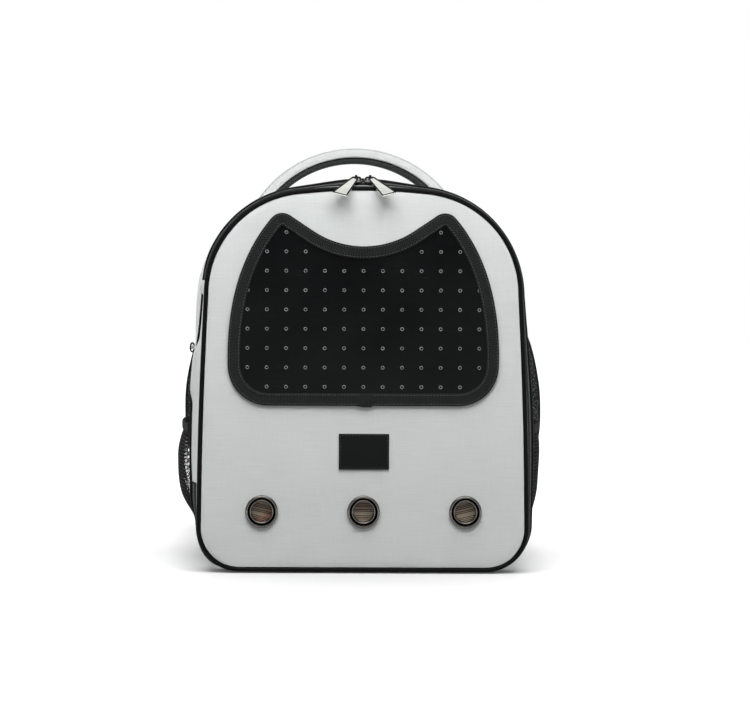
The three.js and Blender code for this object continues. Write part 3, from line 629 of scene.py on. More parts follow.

# Zip band: two black woven tapes that run round the door, closed by a nylon coil between them.
# It goes from the low end of the cloth hinge round to its high end.
# Its coil is a row of small crossing loops, and a paler stripe along its front edge is a painted highlight.
BAND_FRONT, BAND_BACK, BAND_FRONT_OUT, BAND_THICK, COIL_HALF, COIL_RISE = -117.8, -95.5, 4.6, 1.4, 2.6, 1
BAND_STEP, BAND_ROWS, BAND_SKIP, COIL_SEAT = 4, 19, 6, 0.5
HINGE_LOW, HINGE_HIGH = 92, 302
TOOTH_PITCH, TOOTH_LENGTH, TOOTH_WIDTH, TOOTH_RISE, TOOTH_CROSS = 1.25, 3.4, 0.95, 1.15, 0.9
TOOTH_CLEAR, TOOTH_SINK, TOOTH_ROLL = 2, 0.1, 0.3
PICK_PITCH, ZIP_RIB, ZIP_RELIEF = 0.8, 1.1, 0.15
# The zip tape's pale stripe, 4.2 mm across from its front edge, is a painted highlight.
ZIP_BLACK, ZIP_SHADE, ZIP_PAINTED_HIGHLIGHT = (38, 39, 39), (16, 17, 17), (4.2, (146, 147, 147))
COIL_PALE, COIL_SHADE = (84, 85, 85), (50, 51, 51)
COIL_SHINE, COIL_GLOSS, COIL_GRAIN = 0.5, (0.35, 0.25), (0.8, 2)


def ribbed_tape(name, colour, shade_colour, rib, relief, roughness=0.75, edge=None):
    """Woven tape with ribs along its run, fine picks across it, and maybe a pale band along one edge, which
    on the zip tape is a painted highlight.
    """
    material, shade = finish(name, {"Specular IOR Level": 0.1})
    along, across, run = runs(shade)
    ribs = abs((across * (math.pi / rib)).sine())
    picks = along.ripple(PICK_PITCH)
    fuzz = run.stretched(0.3, 1.2).speckle(1, 3)
    woven = (ribs * 0.5 + picks * 0.2 + fuzz * 0.4).between(srgb(shade_colour), srgb(colour))
    # A band up to a reach across in another colour: on the zip tape it is a painted highlight.
    if edge:
        woven = (across < edge[0]).between(woven, srgb(edge[1]))
    woven.feeds("Base Color")
    (roughness + 0.15 * fuzz).feeds("Roughness")
    (ribs * 0.7 + picks * 0.3).bumps(relief)
    return material


def left_distance(z):
    """Distance along the bag's outline to a height on its left side."""
    left = bag_edge.rows[:, 0] < 0
    order = np.argsort(bag_edge.rows[left, 1])
    return np.interp(z, bag_edge.rows[left, 1][order], bag_edge.run[left][order])


def band_out(depth, stations):
    """The zip band slopes from the door's piping out to the rim."""
    share = (depth - BAND_FRONT) / (BAND_BACK - BAND_FRONT)
    return BAND_FRONT_OUT + (rim_out(stations) - BAND_FRONT_OUT) * share


def band_grid(stations, face, skip, lift, set_back=0):
    """A thin band's grid: across its face, lifted by so much, and back behind it in fewer rows."""
    each_station = stations[:, None]
    rear = face[::-skip]
    outs = np.hstack([band_out(face, each_station) + lift, band_out(rear, each_station) - BAND_THICK])
    return carried(stations, np.concatenate([face, rear]), outs - set_back)


def grained(name, shade_colour, colour, specular, gloss, grain, contrast=1, lift=0, relief=0):
    """Plastic, nylon or lacquer whose colour and gloss wander a little."""
    material, shade = finish(name, {"Specular IOR Level": specular})
    wear = runs(shade)[2].speckle(*grain)
    (wear * contrast + lift).between(srgb(shade_colour), srgb(colour)).feeds("Base Color")
    (gloss[0] + gloss[1] * wear).feeds("Roughness")
    if relief:
        wear.bumps(relief)
    return material


hinge_top, hinge_bottom = left_distance(HINGE_HIGH), left_distance(HINGE_LOW)
zip_run, zip_stations = bag_edge.cut(hinge_bottom - bag_edge.length + GAP, hinge_top - GAP, BAND_STEP)
band_face = np.linspace(BAND_FRONT, BAND_BACK, BAND_ROWS)
band_middle = (BAND_FRONT + BAND_BACK) / 2
coil_seat = COIL_SEAT * swell(band_face, band_middle, COIL_HALF, 4)
zip_grid = band_grid(zip_stations, band_face, BAND_SKIP, -coil_seat)
zip_tape = ribbed_tape("zip_tape", ZIP_BLACK, ZIP_SHADE, ZIP_RIB, ZIP_RELIEF, edge=ZIP_PAINTED_HIGHLIGHT)
piece("zip_tapes", skin("zip_tapes", zip_grid, zip_run), zip_tape, ["zip_band"])

tooth_at, tooth_rows = bag_edge.cut(zip_run[0] + TOOTH_CLEAR, zip_run[-1] - TOOTH_CLEAR, TOOTH_PITCH)
tooth_side = np.where(np.arange(len(tooth_at)) % 2, 1, -1)
tooth_depth = band_middle + tooth_side * TOOTH_CROSS
tooth_out = band_out(tooth_depth, tooth_rows) - TOOTH_SINK
tooth_places = carried(tooth_rows, tooth_depth[:, None], tooth_out[:, None])[:, 0]
tooth_up = np.insert(tooth_rows[:, 2:], 1, 0, axis=1)
band_rise = (rim_out(tooth_rows) - BAND_FRONT_OUT) / (BAND_BACK - BAND_FRONT)
band_slope = unit(np.array([0, 1, 0]) + tooth_up * band_rise[:, None])
tooth_along = unit(np.cross(band_slope, tooth_up))
tooth_axes = np.stack([tooth_along, band_slope, np.cross(tooth_along, band_slope)], axis=1)
tooth = tablet(oblong(0, 0, TOOTH_WIDTH, TOOTH_LENGTH), TOOTH_RISE, TOOTH_ROLL, 1)
tooth_points, tooth_faces = strewn(tooth, tooth_places, tooth_axes)
coil_nylon = grained("coil_nylon", COIL_SHADE, COIL_PALE, COIL_SHINE, COIL_GLOSS, COIL_GRAIN)
tooth_mesh = shaped("zip_coil", tooth_points, tooth_faces, tooth_points[:, [0, 2]])
piece("zip_coil", tooth_mesh, coil_nylon)

# Door hinge: a strip of the same light grey cloth on the left, where the door turns.
# It is sewn between the door's piping and the body's rim, where the zip leaves off.
# It is lightly creased, and laps over the body's piping in two places.
HINGE_CREASES = ((0.2, 0.05, 0.25, 0.0), (0.12, 0.11, -0.31, 1.3))
HINGE_STEP, HINGE_ROWS, HINGE_SKIP, HINGE_SET_BACK = 3, 16, 5, 0.2

# Each lap of the cloth over the body's piping: its middle height and how far it reaches up and down
HINGE_LAPS = ((207, 28), (296, 7))
HINGE_LAP_OUT, HINGE_LAP_SHARP, HINGE_LAP_FADE = 4.2, 9, 6
hinge_run, hinge_stations = bag_edge.cut(hinge_top, hinge_bottom, HINGE_STEP)
hinge_face = np.linspace(BAND_FRONT, BAND_BACK, HINGE_ROWS)
creases = waves(HINGE_CREASES, hinge_run[:, None], hinge_face)
hinge_z = hinge_stations[:, 1:2]
lapping = sum(swell(hinge_z, middle, up, HINGE_LAP_FADE) for middle, up in HINGE_LAPS)
lap_edge = ((hinge_face - BAND_FRONT) / (BAND_BACK - BAND_FRONT)) ** HINGE_LAP_SHARP
creases = creases + HINGE_LAP_OUT * lapping * lap_edge
hinge_grid = band_grid(hinge_stations, hinge_face, HINGE_SKIP, creases, HINGE_SET_BACK)
hinge_mesh = skin("hinge_cloth", hinge_grid, hinge_run)
piece("hinge_cloth", hinge_mesh, shell_cloth, ["door_hinge"])

# Door panel: light grey oxford cloth over a stiff board, with the window and three eyelet holes cut out.
# The board bows out a little, and its edge rolls back into the piping seam.
# The cloth dimples round each eyelet.
DOOR_FRONT, DOOR_THICK, DOOR_SPACING, EDGE_CLEAR = -122, 3, 5, 0.55
BOW, BOW_HALF_WIDTH, BOW_MIDDLE_Z, BOW_HALF_HEIGHT = 2.4, 168, 202, 196
EDGE_ROLL, EDGE_ROLL_WIDTH = 0.5, 1.6
DIMPLE, DIMPLE_WIDTH = 0.5, 7
WINDOW_LOW, WINDOW_CORNER, WINDOW_SIDE = 173.5, 42, 140.4
WINDOW_SIDE_PULL = (142.5, 312)
EAR_CENTRE, EAR_RADIUS, EAR_TURN = (84.4, 358.5), 14.5, 39.5
DIP_LOW, DIP_RADIUS, DIP_TURN = 338.6, 94, 34
WINDOW_STEP, SWEEP_STEPS, OPENING_INSET = 4, 40, 10
EYELET_MIDDLE, EYELET_PITCH, EYELET_Z, EYELET_OUTER, EYELET_BARREL = 0.8, 105.5, 63.6, 17, 12.2
EYELET_CUT_SIDES = 36


def swept_side(foot, pull, head):
    """A side that bends towards a pulling point between its two ends, with outward normals."""
    share = np.linspace(0, 1, SWEEP_STEPS)[:, None]
    foot, pull, head = np.array(foot), np.array(pull), np.array(head)
    points = (1 - share) ** 2 * foot + 2 * share * (1 - share) * pull + share**2 * head
    along = unit((1 - share) * (pull - foot) + share * (head - pull))
    return np.column_stack([points, along[:, 1], -along[:, 0]])


def bowed(x, z):
    """How far the door's front bows forward at a place on it."""
    across = 1 - (np.asarray(x) / BOW_HALF_WIDTH) ** 2
    upright = 1 - ((np.asarray(z) - BOW_MIDDLE_Z) / BOW_HALF_HEIGHT) ** 2
    return BOW * np.clip(across, 0, 1) * np.clip(upright, 0, 1)


def within(points, loops):
    """Which points lie inside loops, where a loop in a loop is a hole."""
    starts = np.vstack(loops)
    ends = np.vstack([np.roll(loop, -1, axis=0) for loop in loops])
    x, z = points[:, :1], points[:, 1:]
    rise = ends[:, 1] - starts[:, 1]
    crossed = (starts[:, 1] > z) != (ends[:, 1] > z)
    at = starts[:, 0] + (z - starts[:, 1]) * (ends[:, 0] - starts[:, 0]) / np.where(rise == 0, 1, rise)
    return (crossed & (x < at)).sum(axis=1) % 2 == 1


def nearest(points, marks):
    """Distance from each point to the nearest mark."""
    gaps = points[:, None, :] - marks[None, :, :]
    return np.sqrt((gaps**2).sum(axis=2)).min(axis=1)


def panel(name, loops, spacing, face, thick):
    """A cloth or film panel cut to loops in the XZ plane; face gives the depth of its front."""
    edge = np.vstack(loops)
    low, high = edge.min(axis=0), edge.max(axis=0)
    across = np.arange(low[0], high[0], spacing)
    upright = np.arange(low[1], high[1], spacing * math.sqrt(3) / 2)
    field = np.array([(x + spacing / 2 * (i % 2), z) for i, z in enumerate(upright) for x in across])
    field = field[within(field, loops)]
    field = field[nearest(field, edge) > spacing * EDGE_CLEAR]
    ends = np.cumsum([len(loop) for loop in loops])
    sides = [
        (v, v + 1 if v + 1 < end else end - len(loop))
        for loop, end in zip(loops, ends)
        for v in range(end - len(loop), end)
    ]
    flat = [Vector(p) for p in np.vstack([edge, field])]
    spots, _, faces, kept, *_ = delaunay_2d_cdt(flat, sides, [], 0, 1e-6)
    spots = np.array([spot[:] for spot in spots])
    centres = np.array([spots[list(f)].mean(axis=0) for f in faces])
    faces = [list(f) for f, held in zip(faces, within(centres, loops)) if held]
    place = {old: new for new, olds in enumerate(kept) for old in olds}
    count = len(spots)
    depth = face(spots[:, 0], spots[:, 1])
    front = np.column_stack([spots[:, 0], depth, spots[:, 1]])
    back = front + (0, thick, 0)
    rear_faces = [[v + count for v in f[::-1]] for f in faces]
    walls = [[place[a], place[b], place[b] + count, place[a] + count] for a, b in sides]
    faces = faces + rear_faces + walls
    return shaped(name, np.vstack([front, back]), faces, np.vstack([spots, spots]))


def moved(stations, out):
    """The points of stations, moved out along their normals."""
    return stations[:, :2] + stations[:, 2:] * out


def circle(x, z, radius, sides):
    """Points round a circle in the XZ plane."""
    turn = np.arange(sides) * 2 * math.pi / sides
    return np.column_stack([x + radius * np.cos(turn), z + radius * np.sin(turn)])


window_ear = arc(EAR_CENTRE, EAR_RADIUS, EAR_TURN, 90 + DIP_TURN)
window_edge = Outline(
    [
        straight((0, WINDOW_LOW), (WINDOW_SIDE - WINDOW_CORNER, WINDOW_LOW)),
        arc((WINDOW_SIDE - WINDOW_CORNER, WINDOW_LOW + WINDOW_CORNER), WINDOW_CORNER, -90, 0),
        swept_side((WINDOW_SIDE, WINDOW_LOW + WINDOW_CORNER), WINDOW_SIDE_PULL, window_ear[0, :2]),
        window_ear,
        arc((0, DIP_LOW + DIP_RADIUS), DIP_RADIUS, DIP_TURN - 90, -90, hollow=True),
    ]
)
eyelet_places = [(EYELET_MIDDLE + i * EYELET_PITCH, EYELET_Z) for i in (-1, 0, 1)]
door_rim = bag_edge.loop(CORD_STEP)[1][:, :2]


def door_face(x, z):
    """Depth of the door's cloth: bowed, rolled in at the edge and dimpled at the eyelets."""
    spots = np.column_stack([x, z])
    roll = EDGE_ROLL * np.exp(-nearest(spots, door_rim) / EDGE_ROLL_WIDTH)
    dimples = sum(
        np.exp(-np.abs(np.hypot(x - ex, z - ez) - EYELET_OUTER) / DIMPLE_WIDTH) for ex, ez in eyelet_places
    )
    return DOOR_FRONT - bowed(x, z) + roll + DIMPLE * dimples


opening = moved(window_edge.loop(WINDOW_STEP)[1], -OPENING_INSET)
eyelet_cuts = [circle(x, z, EYELET_BARREL + GAP, EYELET_CUT_SIDES) for x, z in eyelet_places]
door_mesh = panel("door_cloth", [door_rim, opening, *eyelet_cuts], DOOR_SPACING, door_face, DOOR_THICK)
piece("door_cloth", door_mesh, shell_cloth, ["door_panel"])

# Door piping: a thicker cord of the same black binding, sewn round the door's edge.
# It hides the seam between the door's cloth and the zip tape, and the two zip pulls lie on it.
PIPING_RADIUS, PIPING_DEPTH, PIPING_OUT = 2.3, -120.5, 2.7
cord_round("door_cord", PIPING_DEPTH, lambda stations: PIPING_OUT, PIPING_RADIUS, ["door_piping"])

# Window film: smoked soft plastic with rows of punched vent holes, laid on the door behind the tape.
# It is glossy and faintly hazed, and it lies not quite flat, so reflections wander on it.
FILM_FRONT, FILM_THICK, FILM_TUCK, FILM_SPACING = -123.3, 1, 1.5, 6
VENT_PITCH, VENT_FIRST_Z, VENT_RADIUS, VENT_SIDES = 20, 193, 1.35, 14
VENT_COLUMNS = ((0, 5), (0, 6), (0, 6), (0, 6), (0, 6), (0, 6), (0, 5), (3, 5), (4, 4))
FILM_WAVES = ((0.22, 0.031, 0.043, 0.7), (0.12, 0.067, -0.052, 2.1))
FILM_BLACK, FILM_HAZE = (6, 7, 8), (17, 18, 19)


def film_face(x, z):
    """Depth of the film's front, which buckles slightly inside its tape."""
    return FILM_FRONT - bowed(x, z) + waves(FILM_WAVES, x, z)


vents = [
    (column * VENT_PITCH, VENT_FIRST_Z + row * VENT_PITCH)
    for row, (inner, outer) in enumerate(VENT_COLUMNS)
    for column in range(-outer, outer + 1)
    if abs(column) >= inner
]
film_rim = moved(window_edge.loop(WINDOW_STEP)[1], -FILM_TUCK)
punched = [circle(x, z, VENT_RADIUS, VENT_SIDES) for x, z in vents]
film_mesh = panel("window_pane", [film_rim, *punched], FILM_SPACING, film_face, FILM_THICK)
smoked_film, film_shade = finish("smoked_film", {"Specular IOR Level": 0.1})
film_run = runs(film_shade)[2]
haze = film_run.speckle(0.018, 4)
scuff = film_run.stretched(0.05, 0.4).speckle(1, 4)
(haze * 0.8 + scuff * 0.5 - 0.15).between(srgb(FILM_BLACK), srgb(FILM_HAZE)).feeds("Base Color")
(0.1 + 0.18 * haze + 0.1 * scuff).feeds("Roughness")
haze.bumps(0.15)
piece("window_pane", film_mesh, smoked_film, ["window_film"])

# Vent rims: punching raises a pale ridge of stressed plastic round each hole in the film.
# Each rim is a low ring that stands on the film's face.
VENT_RIM_RADIUS, VENT_RIM_WIRE, VENT_RIM_STEPS, VENT_RIM_SIDES = 1.55, 0.34, 18, 8
VENT_RIM_PALE, VENT_RIM_DULL = (168, 170, 170), (96, 98, 99)
VENT_RIM_SHINE, VENT_RIM_GLOSS, VENT_RIM_GRAIN = 0.4, (0.35, 0.2), (0.35, 2)
VENT_RIM_CONTRAST, VENT_RIM_LIFT = 1.6, -0.3
FACING_FRONT = np.array([[1, 0, 0], [0, 0, 1], [0, -1, 0]])


def ring_shape(radius, wire, steps, sides):
    """A wire ring lying in its own XY plane: its points and faces."""
    turn = np.arange(steps) * 2 * math.pi / steps
    tilt = np.arange(sides) * 2 * math.pi / sides
    reach = radius + wire * np.cos(tilt)
    rise = np.tile(wire * np.sin(tilt), (steps, 1))
    points = np.stack([np.outer(np.cos(turn), reach), np.outer(np.sin(turn), reach), rise], axis=-1)
    return points.reshape(-1, 3), quads(steps, sides, loop=True)


vent_at = np.array(vents, float)
vent_places = np.column_stack([vent_at[:, 0], film_face(*vent_at.T), vent_at[:, 1]])
rim_shape = ring_shape(VENT_RIM_RADIUS, VENT_RIM_WIRE, VENT_RIM_STEPS, VENT_RIM_SIDES)
rim_points, rim_faces = strewn(rim_shape, vent_places, FACING_FRONT)
pale_plastic = grained(
    "pale_plastic",
    VENT_RIM_DULL,
    VENT_RIM_PALE,
    VENT_RIM_SHINE,
    VENT_RIM_GLOSS,
    VENT_RIM_GRAIN,
    VENT_RIM_CONTRAST,
    VENT_RIM_LIFT,
)
rim_mesh = shaped("vent_rims", rim_points, rim_faces, rim_points[:, [0, 2]])
piece("vent_rims", rim_mesh, pale_plastic)

# Window tape: a flat black twill tape that covers the film's edge, sewn down along both its edges.
# Its two ends overlap at the bottom middle, where the upper end lies a little lower.
TAPE_WIDTH, TAPE_THICK, TAPE_BACK, TAPE_STEP = 13, 1.4, -123.6, 3
TAPE_RIB, TAPE_SLANT, TAPE_RELIEF = 2.5, 3.3, 0.3
TAPE_LAP, TAPE_LAP_DROP, TAPE_LAP_RISE = 9, 1.3, 1.0
TAPE_INNER_SEAM, TAPE_OUTER_SEAM = 11.2, 1.9
TAPE_BLACK, TAPE_SHADE = (58, 61, 60), (4, 5, 5)
TAPE_THREAD = (84, 87, 86)


def twill_tape(name, colour, shade_colour, rib, slant, relief):
    """Herringbone tape: slanting ribs that turn back and forth across its width."""
    material, shade = finish(name, {"Specular IOR Level": 0.06})
    along, across, run = runs(shade)
    herringbone = (along + across.zigzag(slant)).ripple(rib)
    fuzz = run.stretched(0.5, 0.9).speckle(1, 3)
    cloud = run.speckle(0.05, 2)
    tone = herringbone * 0.75 + fuzz * 0.4 + cloud * 0.2 - 0.25
    tone.between(srgb(shade_colour), srgb(colour)).feeds("Base Color")
    (0.72 + 0.18 * fuzz).feeds("Roughness")
    (herringbone * 0.8 + fuzz * 0.3).bumps(relief)
    return material


def soft_section(width, thick, corners=0.3, crown=0.7, points=24):
    """A flat strip's section as pairs of across and rise, with rounded edges."""
    turn = np.arange(points) * 2 * math.pi / points
    across = np.sign(np.cos(turn)) * np.abs(np.cos(turn)) ** corners
    rise = np.sign(np.sin(turn)) * np.abs(np.sin(turn)) ** crown
    return np.column_stack([across * width / 2, rise * thick / 2])


tape_run, tape_stations = window_edge.cut(-TAPE_LAP, window_edge.length + TAPE_LAP, TAPE_STEP)
tape_section = soft_section(TAPE_WIDTH, TAPE_THICK)
lap = np.clip((tape_run - (window_edge.length - TAPE_LAP)) / TAPE_LAP, 0, 1)[:, None]
tape_out = tape_section[:, 0] - TAPE_WIDTH / 2 + TAPE_LAP_DROP * lap
tape_lift = bowed(tape_stations[:, 0], tape_stations[:, 1])[:, None] + TAPE_LAP_RISE * lap
tape_depth = TAPE_BACK - TAPE_THICK / 2 - tape_section[:, 1] - tape_lift
tape_grid = carried(tape_stations, tape_depth, tape_out)
twill = twill_tape("twill_tape", TAPE_BLACK, TAPE_SHADE, TAPE_RIB, TAPE_SLANT, TAPE_RELIEF)
piece("window_binding", skin("window_binding", tape_grid, tape_run), twill, ["window_tape"])


def on_tape(inset):
    """A line along the tape's face, an inset in from its outer edge."""
    stations = window_edge.loop(TAPE_STEP)[1]
    spots = moved(stations, -inset)
    depth = TAPE_BACK - TAPE_THICK - bowed(spots[:, 0], spots[:, 1])
    return np.column_stack([spots[:, 0], depth, spots[:, 1]])


tape_thread = thread("tape_thread", TAPE_THREAD)
tape_lines = [on_tape(inset) for inset in (TAPE_INNER_SEAM, TAPE_OUTER_SEAM)]
tape_seams = [stitch_places(line, (0, -1, 0), loop=True) for line in tape_lines]
stitching("tape_stitching", tape_seams, tape_thread)

# Label: a bare black satin patch with folded edges, sewn flat to the door below the window.
# One row of black stitches holds it all round.
LABEL_X, LABEL_Z, LABEL_WIDTH, LABEL_HEIGHT, LABEL_THICK, LABEL_ROLL = 1, 126, 52, 37, 1, 0.4
LABEL_SEAM, LABEL_RIB, LABEL_RELIEF, LABEL_ROUGH = 1.7, 0.5, 0.05, 0.5
LABEL_BLACK, LABEL_SHADE = (18, 20, 19), (6, 7, 7)
label_points, label_faces = tablet(oblong(0, 0, LABEL_WIDTH, LABEL_HEIGHT), LABEL_THICK, LABEL_ROLL)
label_front = DOOR_FRONT - GAP - bowed(LABEL_X, LABEL_Z)
label_placed = label_points @ FACING_FRONT + (LABEL_X, label_front, LABEL_Z)
label_satin = ribbed_tape("label_satin", LABEL_BLACK, LABEL_SHADE, LABEL_RIB, LABEL_RELIEF, LABEL_ROUGH)
label_mesh = shaped("label_bare", label_placed, label_faces, label_points[:, :2])
piece("label_bare", label_mesh, label_satin, ["label_patch"])
label_line = np.array(oblong(LABEL_X, LABEL_Z, LABEL_WIDTH - 2 * LABEL_SEAM, LABEL_HEIGHT - 2 * LABEL_SEAM))
label_depth = np.full(len(label_line), label_front - LABEL_THICK)
label_path = np.column_stack([label_line[:, 0], label_depth, label_line[:, 1]])
stitching("label_stitching", [stitch_places(label_path, (0, -1, 0), loop=True)], black_thread)

# Eyelets: three two-part pressed eyelets in polished gunmetal, set through the door for air.
# Each has a rolled outer flange, a groove inside it painted black as shade, and a bevelled inner lip.
EYELET_STEPS, EYELET_HOLE = 72, 10.4
EYELET_PROFILE = (
    (10.4, -4.2), (14.6, -4.2), (15, -3.8), (14.6, -3.4), (12.2, -3.3), (12.2, 0.2), (16.5, 0.2), (17, 0.6),
    (17, 1.3), (16.7, 2.2), (16.1, 2.9), (15.2, 3.2), (14.4, 2.9), (13.9, 2.2), (13.6, 1.3), (13.2, 0.9),
    (12.8, 1.2), (12.5, 1.9), (12, 2.3), (11.4, 2.2), (10.9, 1.6), (10.6, 0.6),
)
EYELET_SHADE_START, EYELET_SHADE_END, EYELET_ROUGH, EYELET_GRAIN = 20.2, 24.5, 0.2, 0.8
GUNMETAL, GUNMETAL_SHADE, METAL_BLACK = (118, 115, 112), (76, 73, 71), (20, 19, 18)


def metal(name, colour, shade_colour, roughness, grain, black_or_painted_dark=None):
    """Plated metal with faint wipe marks, and black where a share of its two runs says so: painted shade in
    an eyelet's groove, painted dark reflection on a pull's frame, and black on a slider's bridge.
    """
    material, shade = finish(name, {"Metallic": 1.0})
    along, across, run = runs(shade)
    marks = run.stretched(grain, grain * 0.15).speckle(1, 4)
    spots = run.speckle(0.4, 3)
    plated = (marks * 0.6 + spots * 0.6 - 0.1).between(srgb(shade_colour), srgb(colour))
    if black_or_painted_dark:
        plated = black_or_painted_dark(along, across).between(plated, srgb(METAL_BLACK))
    plated.feeds("Base Color")
    (roughness + 0.16 * marks - 0.05).feeds("Roughness")
    return material


def in_groove_shade(along, across):
    """1 in the groove between an eyelet's flange and its lip, where shade is painted black."""
    return (across > EYELET_SHADE_START) * (across < EYELET_SHADE_END)


gunmetal = metal("gunmetal", GUNMETAL, GUNMETAL_SHADE, EYELET_ROUGH, EYELET_GRAIN, in_groove_shade)
eyelet_round = Outline([arc((0, 0), EYELET_HOLE, -90, 90)])
eyelet_run, eyelet_stations = eyelet_round.loop(eyelet_round.length / EYELET_STEPS)
eyelet_outs, eyelet_rises = np.array(EYELET_PROFILE).T
eyelet_outs = np.tile(eyelet_outs - EYELET_HOLE, (len(eyelet_stations), 1))
for (x, z), word in zip(eyelet_places, ("left", "middle", "right")):
    seat = DOOR_FRONT - bowed(x, z)
    grid = carried(eyelet_stations + (x, z, 0, 0), seat - eyelet_rises, eyelet_outs)
    name = "eyelet_ring_" + word
    piece(name, skin(name, grid, eyelet_run, loop=True), gunmetal, ["eyelet_" + word])

# Vent lining: a strip of striped brown cloth stretched behind the three eyelets, which lets air through.
# It lies a little loose, so its dark double stripes bend where they show in each eyelet.
LINING_LOW, LINING_HIGH, LINING_HALF, LINING_FRONT, LINING_THICK = 38, 88, 138, -117.4, 1.2
LINING_COLUMNS, LINING_ROWS = 90, 22
LINING_WAVES = ((0.35, 0.045, 0.09, 0.2), (0.2, 0.11, -0.13, 1.1))
STRIPE_PITCH, STRIPE_BEND, STRIPE_SWAY = 13, 0.0011, 5
STRIPE_LINES, STRIPE_HALF = (0.14, 0.27, 0.5, 0.63, 0.76), 0.028
LINING_BROWN, LINING_PALE = (158, 140, 122), (196, 182, 162)
LINING_RED, LINING_STRIPE = (176, 104, 90), (52, 46, 42)
lining_x = np.linspace(-LINING_HALF, LINING_HALF, LINING_COLUMNS)[:, None]
lining_z = np.linspace(LINING_LOW, LINING_HIGH, LINING_ROWS)
lining_depth = LINING_FRONT + LINING_THICK / 2 + waves(LINING_WAVES, lining_x, lining_z)
lining_flat = np.broadcast_arrays(lining_x + EYELET_MIDDLE, lining_depth, lining_z)
lining_front = np.stack(lining_flat, axis=-1)
lining_back = lining_front[:, ::-1] + (0, LINING_THICK / 2, 0)
lining_grid = np.concatenate([lining_front, lining_back], axis=1)
striped_cloth, lining_shade = finish("striped_cloth", {"Specular IOR Level": 0.15})
along, across, run = runs(lining_shade)
sway = run.stretched(0.012, 0.02).speckle(1, 1) * STRIPE_SWAY
fold = (across - along * along * STRIPE_BEND + sway) / STRIPE_PITCH
ruled = fold.sum("FRACT", fold)
lines = sum(abs(ruled - place) < STRIPE_HALF for place in STRIPE_LINES)
flecks = run.stretched(0.35, 1.6).speckle(1, 3)
blush = run.speckle(0.022, 2)
ground = (flecks * 1.4 - 0.2).between(srgb(LINING_BROWN), srgb(LINING_PALE))
tinted = ((blush - 0.55) * 8).between(ground, srgb(LINING_RED))
lines.between(tinted, srgb(LINING_STRIPE)).feeds("Base Color")
(0.85 + 0.1 * flecks).feeds("Roughness")
flecks.bumps(0.2)
lining_mesh = skin("lining_strip", lining_grid, lining_x[:, 0])
lining_strip = piece("lining_strip", lining_mesh, striped_cloth, ["vent_lining"])

# Top handle: a padded arch in pale cloth over a thick black webbing strip.
# Both are sewn into the top of the gusset.
# The pad is rounded across its top, and its ends are pressed flat against the gusset.
HANDLE_CENTRE_Z, HANDLE_OUTER, PAD_INNER, STRIP_INNER, HANDLE_DEPTH = 318.5, 132.6, 122.3, 115.5, 92
PAD_WIDTH, STRIP_WIDTH, HANDLE_SWING, CLEAR_STEP = 30, 26, 62, 2
PAD_SECTION, STRIP_SECTION = (0.22, 0.22, 28), (0.4, 0.5, 28)
HANDLE_RELIEF, STRIP_RIB, STRIP_SLANT, STRIP_RELIEF = 0.1, 2.7, 3.9, 0.35
STRIP_BLACK = (74, 77, 76)
# The pad's cloth is set greyer than the shell cloth, and a band across its top is darker still: painted shade
# that offsets the strong light from above.
PALE_GREY, PALE_GREY_SHADE, PAD_TOP_PAINTED_SHADE = (203, 204, 204), (195, 196, 196), (35.2, (168, 169, 169))


def clear_of_gusset(points):
    """Points moved out along the gusset's normals until none lies inside its wall."""
    stations = bag_edge.loop(CLEAR_STEP)[1]
    flat = points[:, [0, 2]]
    spans = ((flat[:, None, :] - stations[None, :, :2]) ** 2).sum(axis=2)
    near = stations[spans.argmin(axis=1)]
    out = ((flat - near[:, :2]) * near[:, 2:]).sum(axis=1)
    short = np.maximum(wall_out(near, points[:, 1]) + GAP - out, 0)[:, None]
    lifted = flat + near[:, 2:] * short
    return np.column_stack([lifted[:, 0], points[:, 1], lifted[:, 1]])


def handle_arch(name, inner, outer, width, rounding):
    """An arch of soft section between two radii, from one side of the bag's top to the other."""
    rows = arc((0, HANDLE_CENTRE_Z), (inner + outer) / 2, 90 - HANDLE_SWING, 90 + HANDLE_SWING)
    section = soft_section(width, outer - inner, *rounding)
    grid = carried(rows, HANDLE_DEPTH + section[:, 0], np.tile(section[:, 1], (len(rows), 1)))
    grid = clear_of_gusset(grid.reshape(-1, 3)).reshape(grid.shape)
    return skin(name, grid, run_of(rows[:, :2]), run_of(grid[len(rows) // 2], loop=True))


handle_cloth = oxford("handle_cloth", PALE_GREY_SHADE, PALE_GREY, SHELL_THREAD, HANDLE_RELIEF, edge=PAD_TOP_PAINTED_SHADE)
handle_twill = twill_tape("handle_twill", STRIP_BLACK, TAPE_SHADE, STRIP_RIB, STRIP_SLANT, STRIP_RELIEF)
pad_mesh = handle_arch("handle_cushion", PAD_INNER, HANDLE_OUTER, PAD_WIDTH, PAD_SECTION)
handle_pad = piece("handle_cushion", pad_mesh, handle_cloth, ["handle_pad"])
strip_mesh = handle_arch("handle_strip", STRIP_INNER, PAD_INNER - GAP, STRIP_WIDTH, STRIP_SECTION)
piece("handle_strip", strip_mesh, handle_twill, ["handle_webbing"])

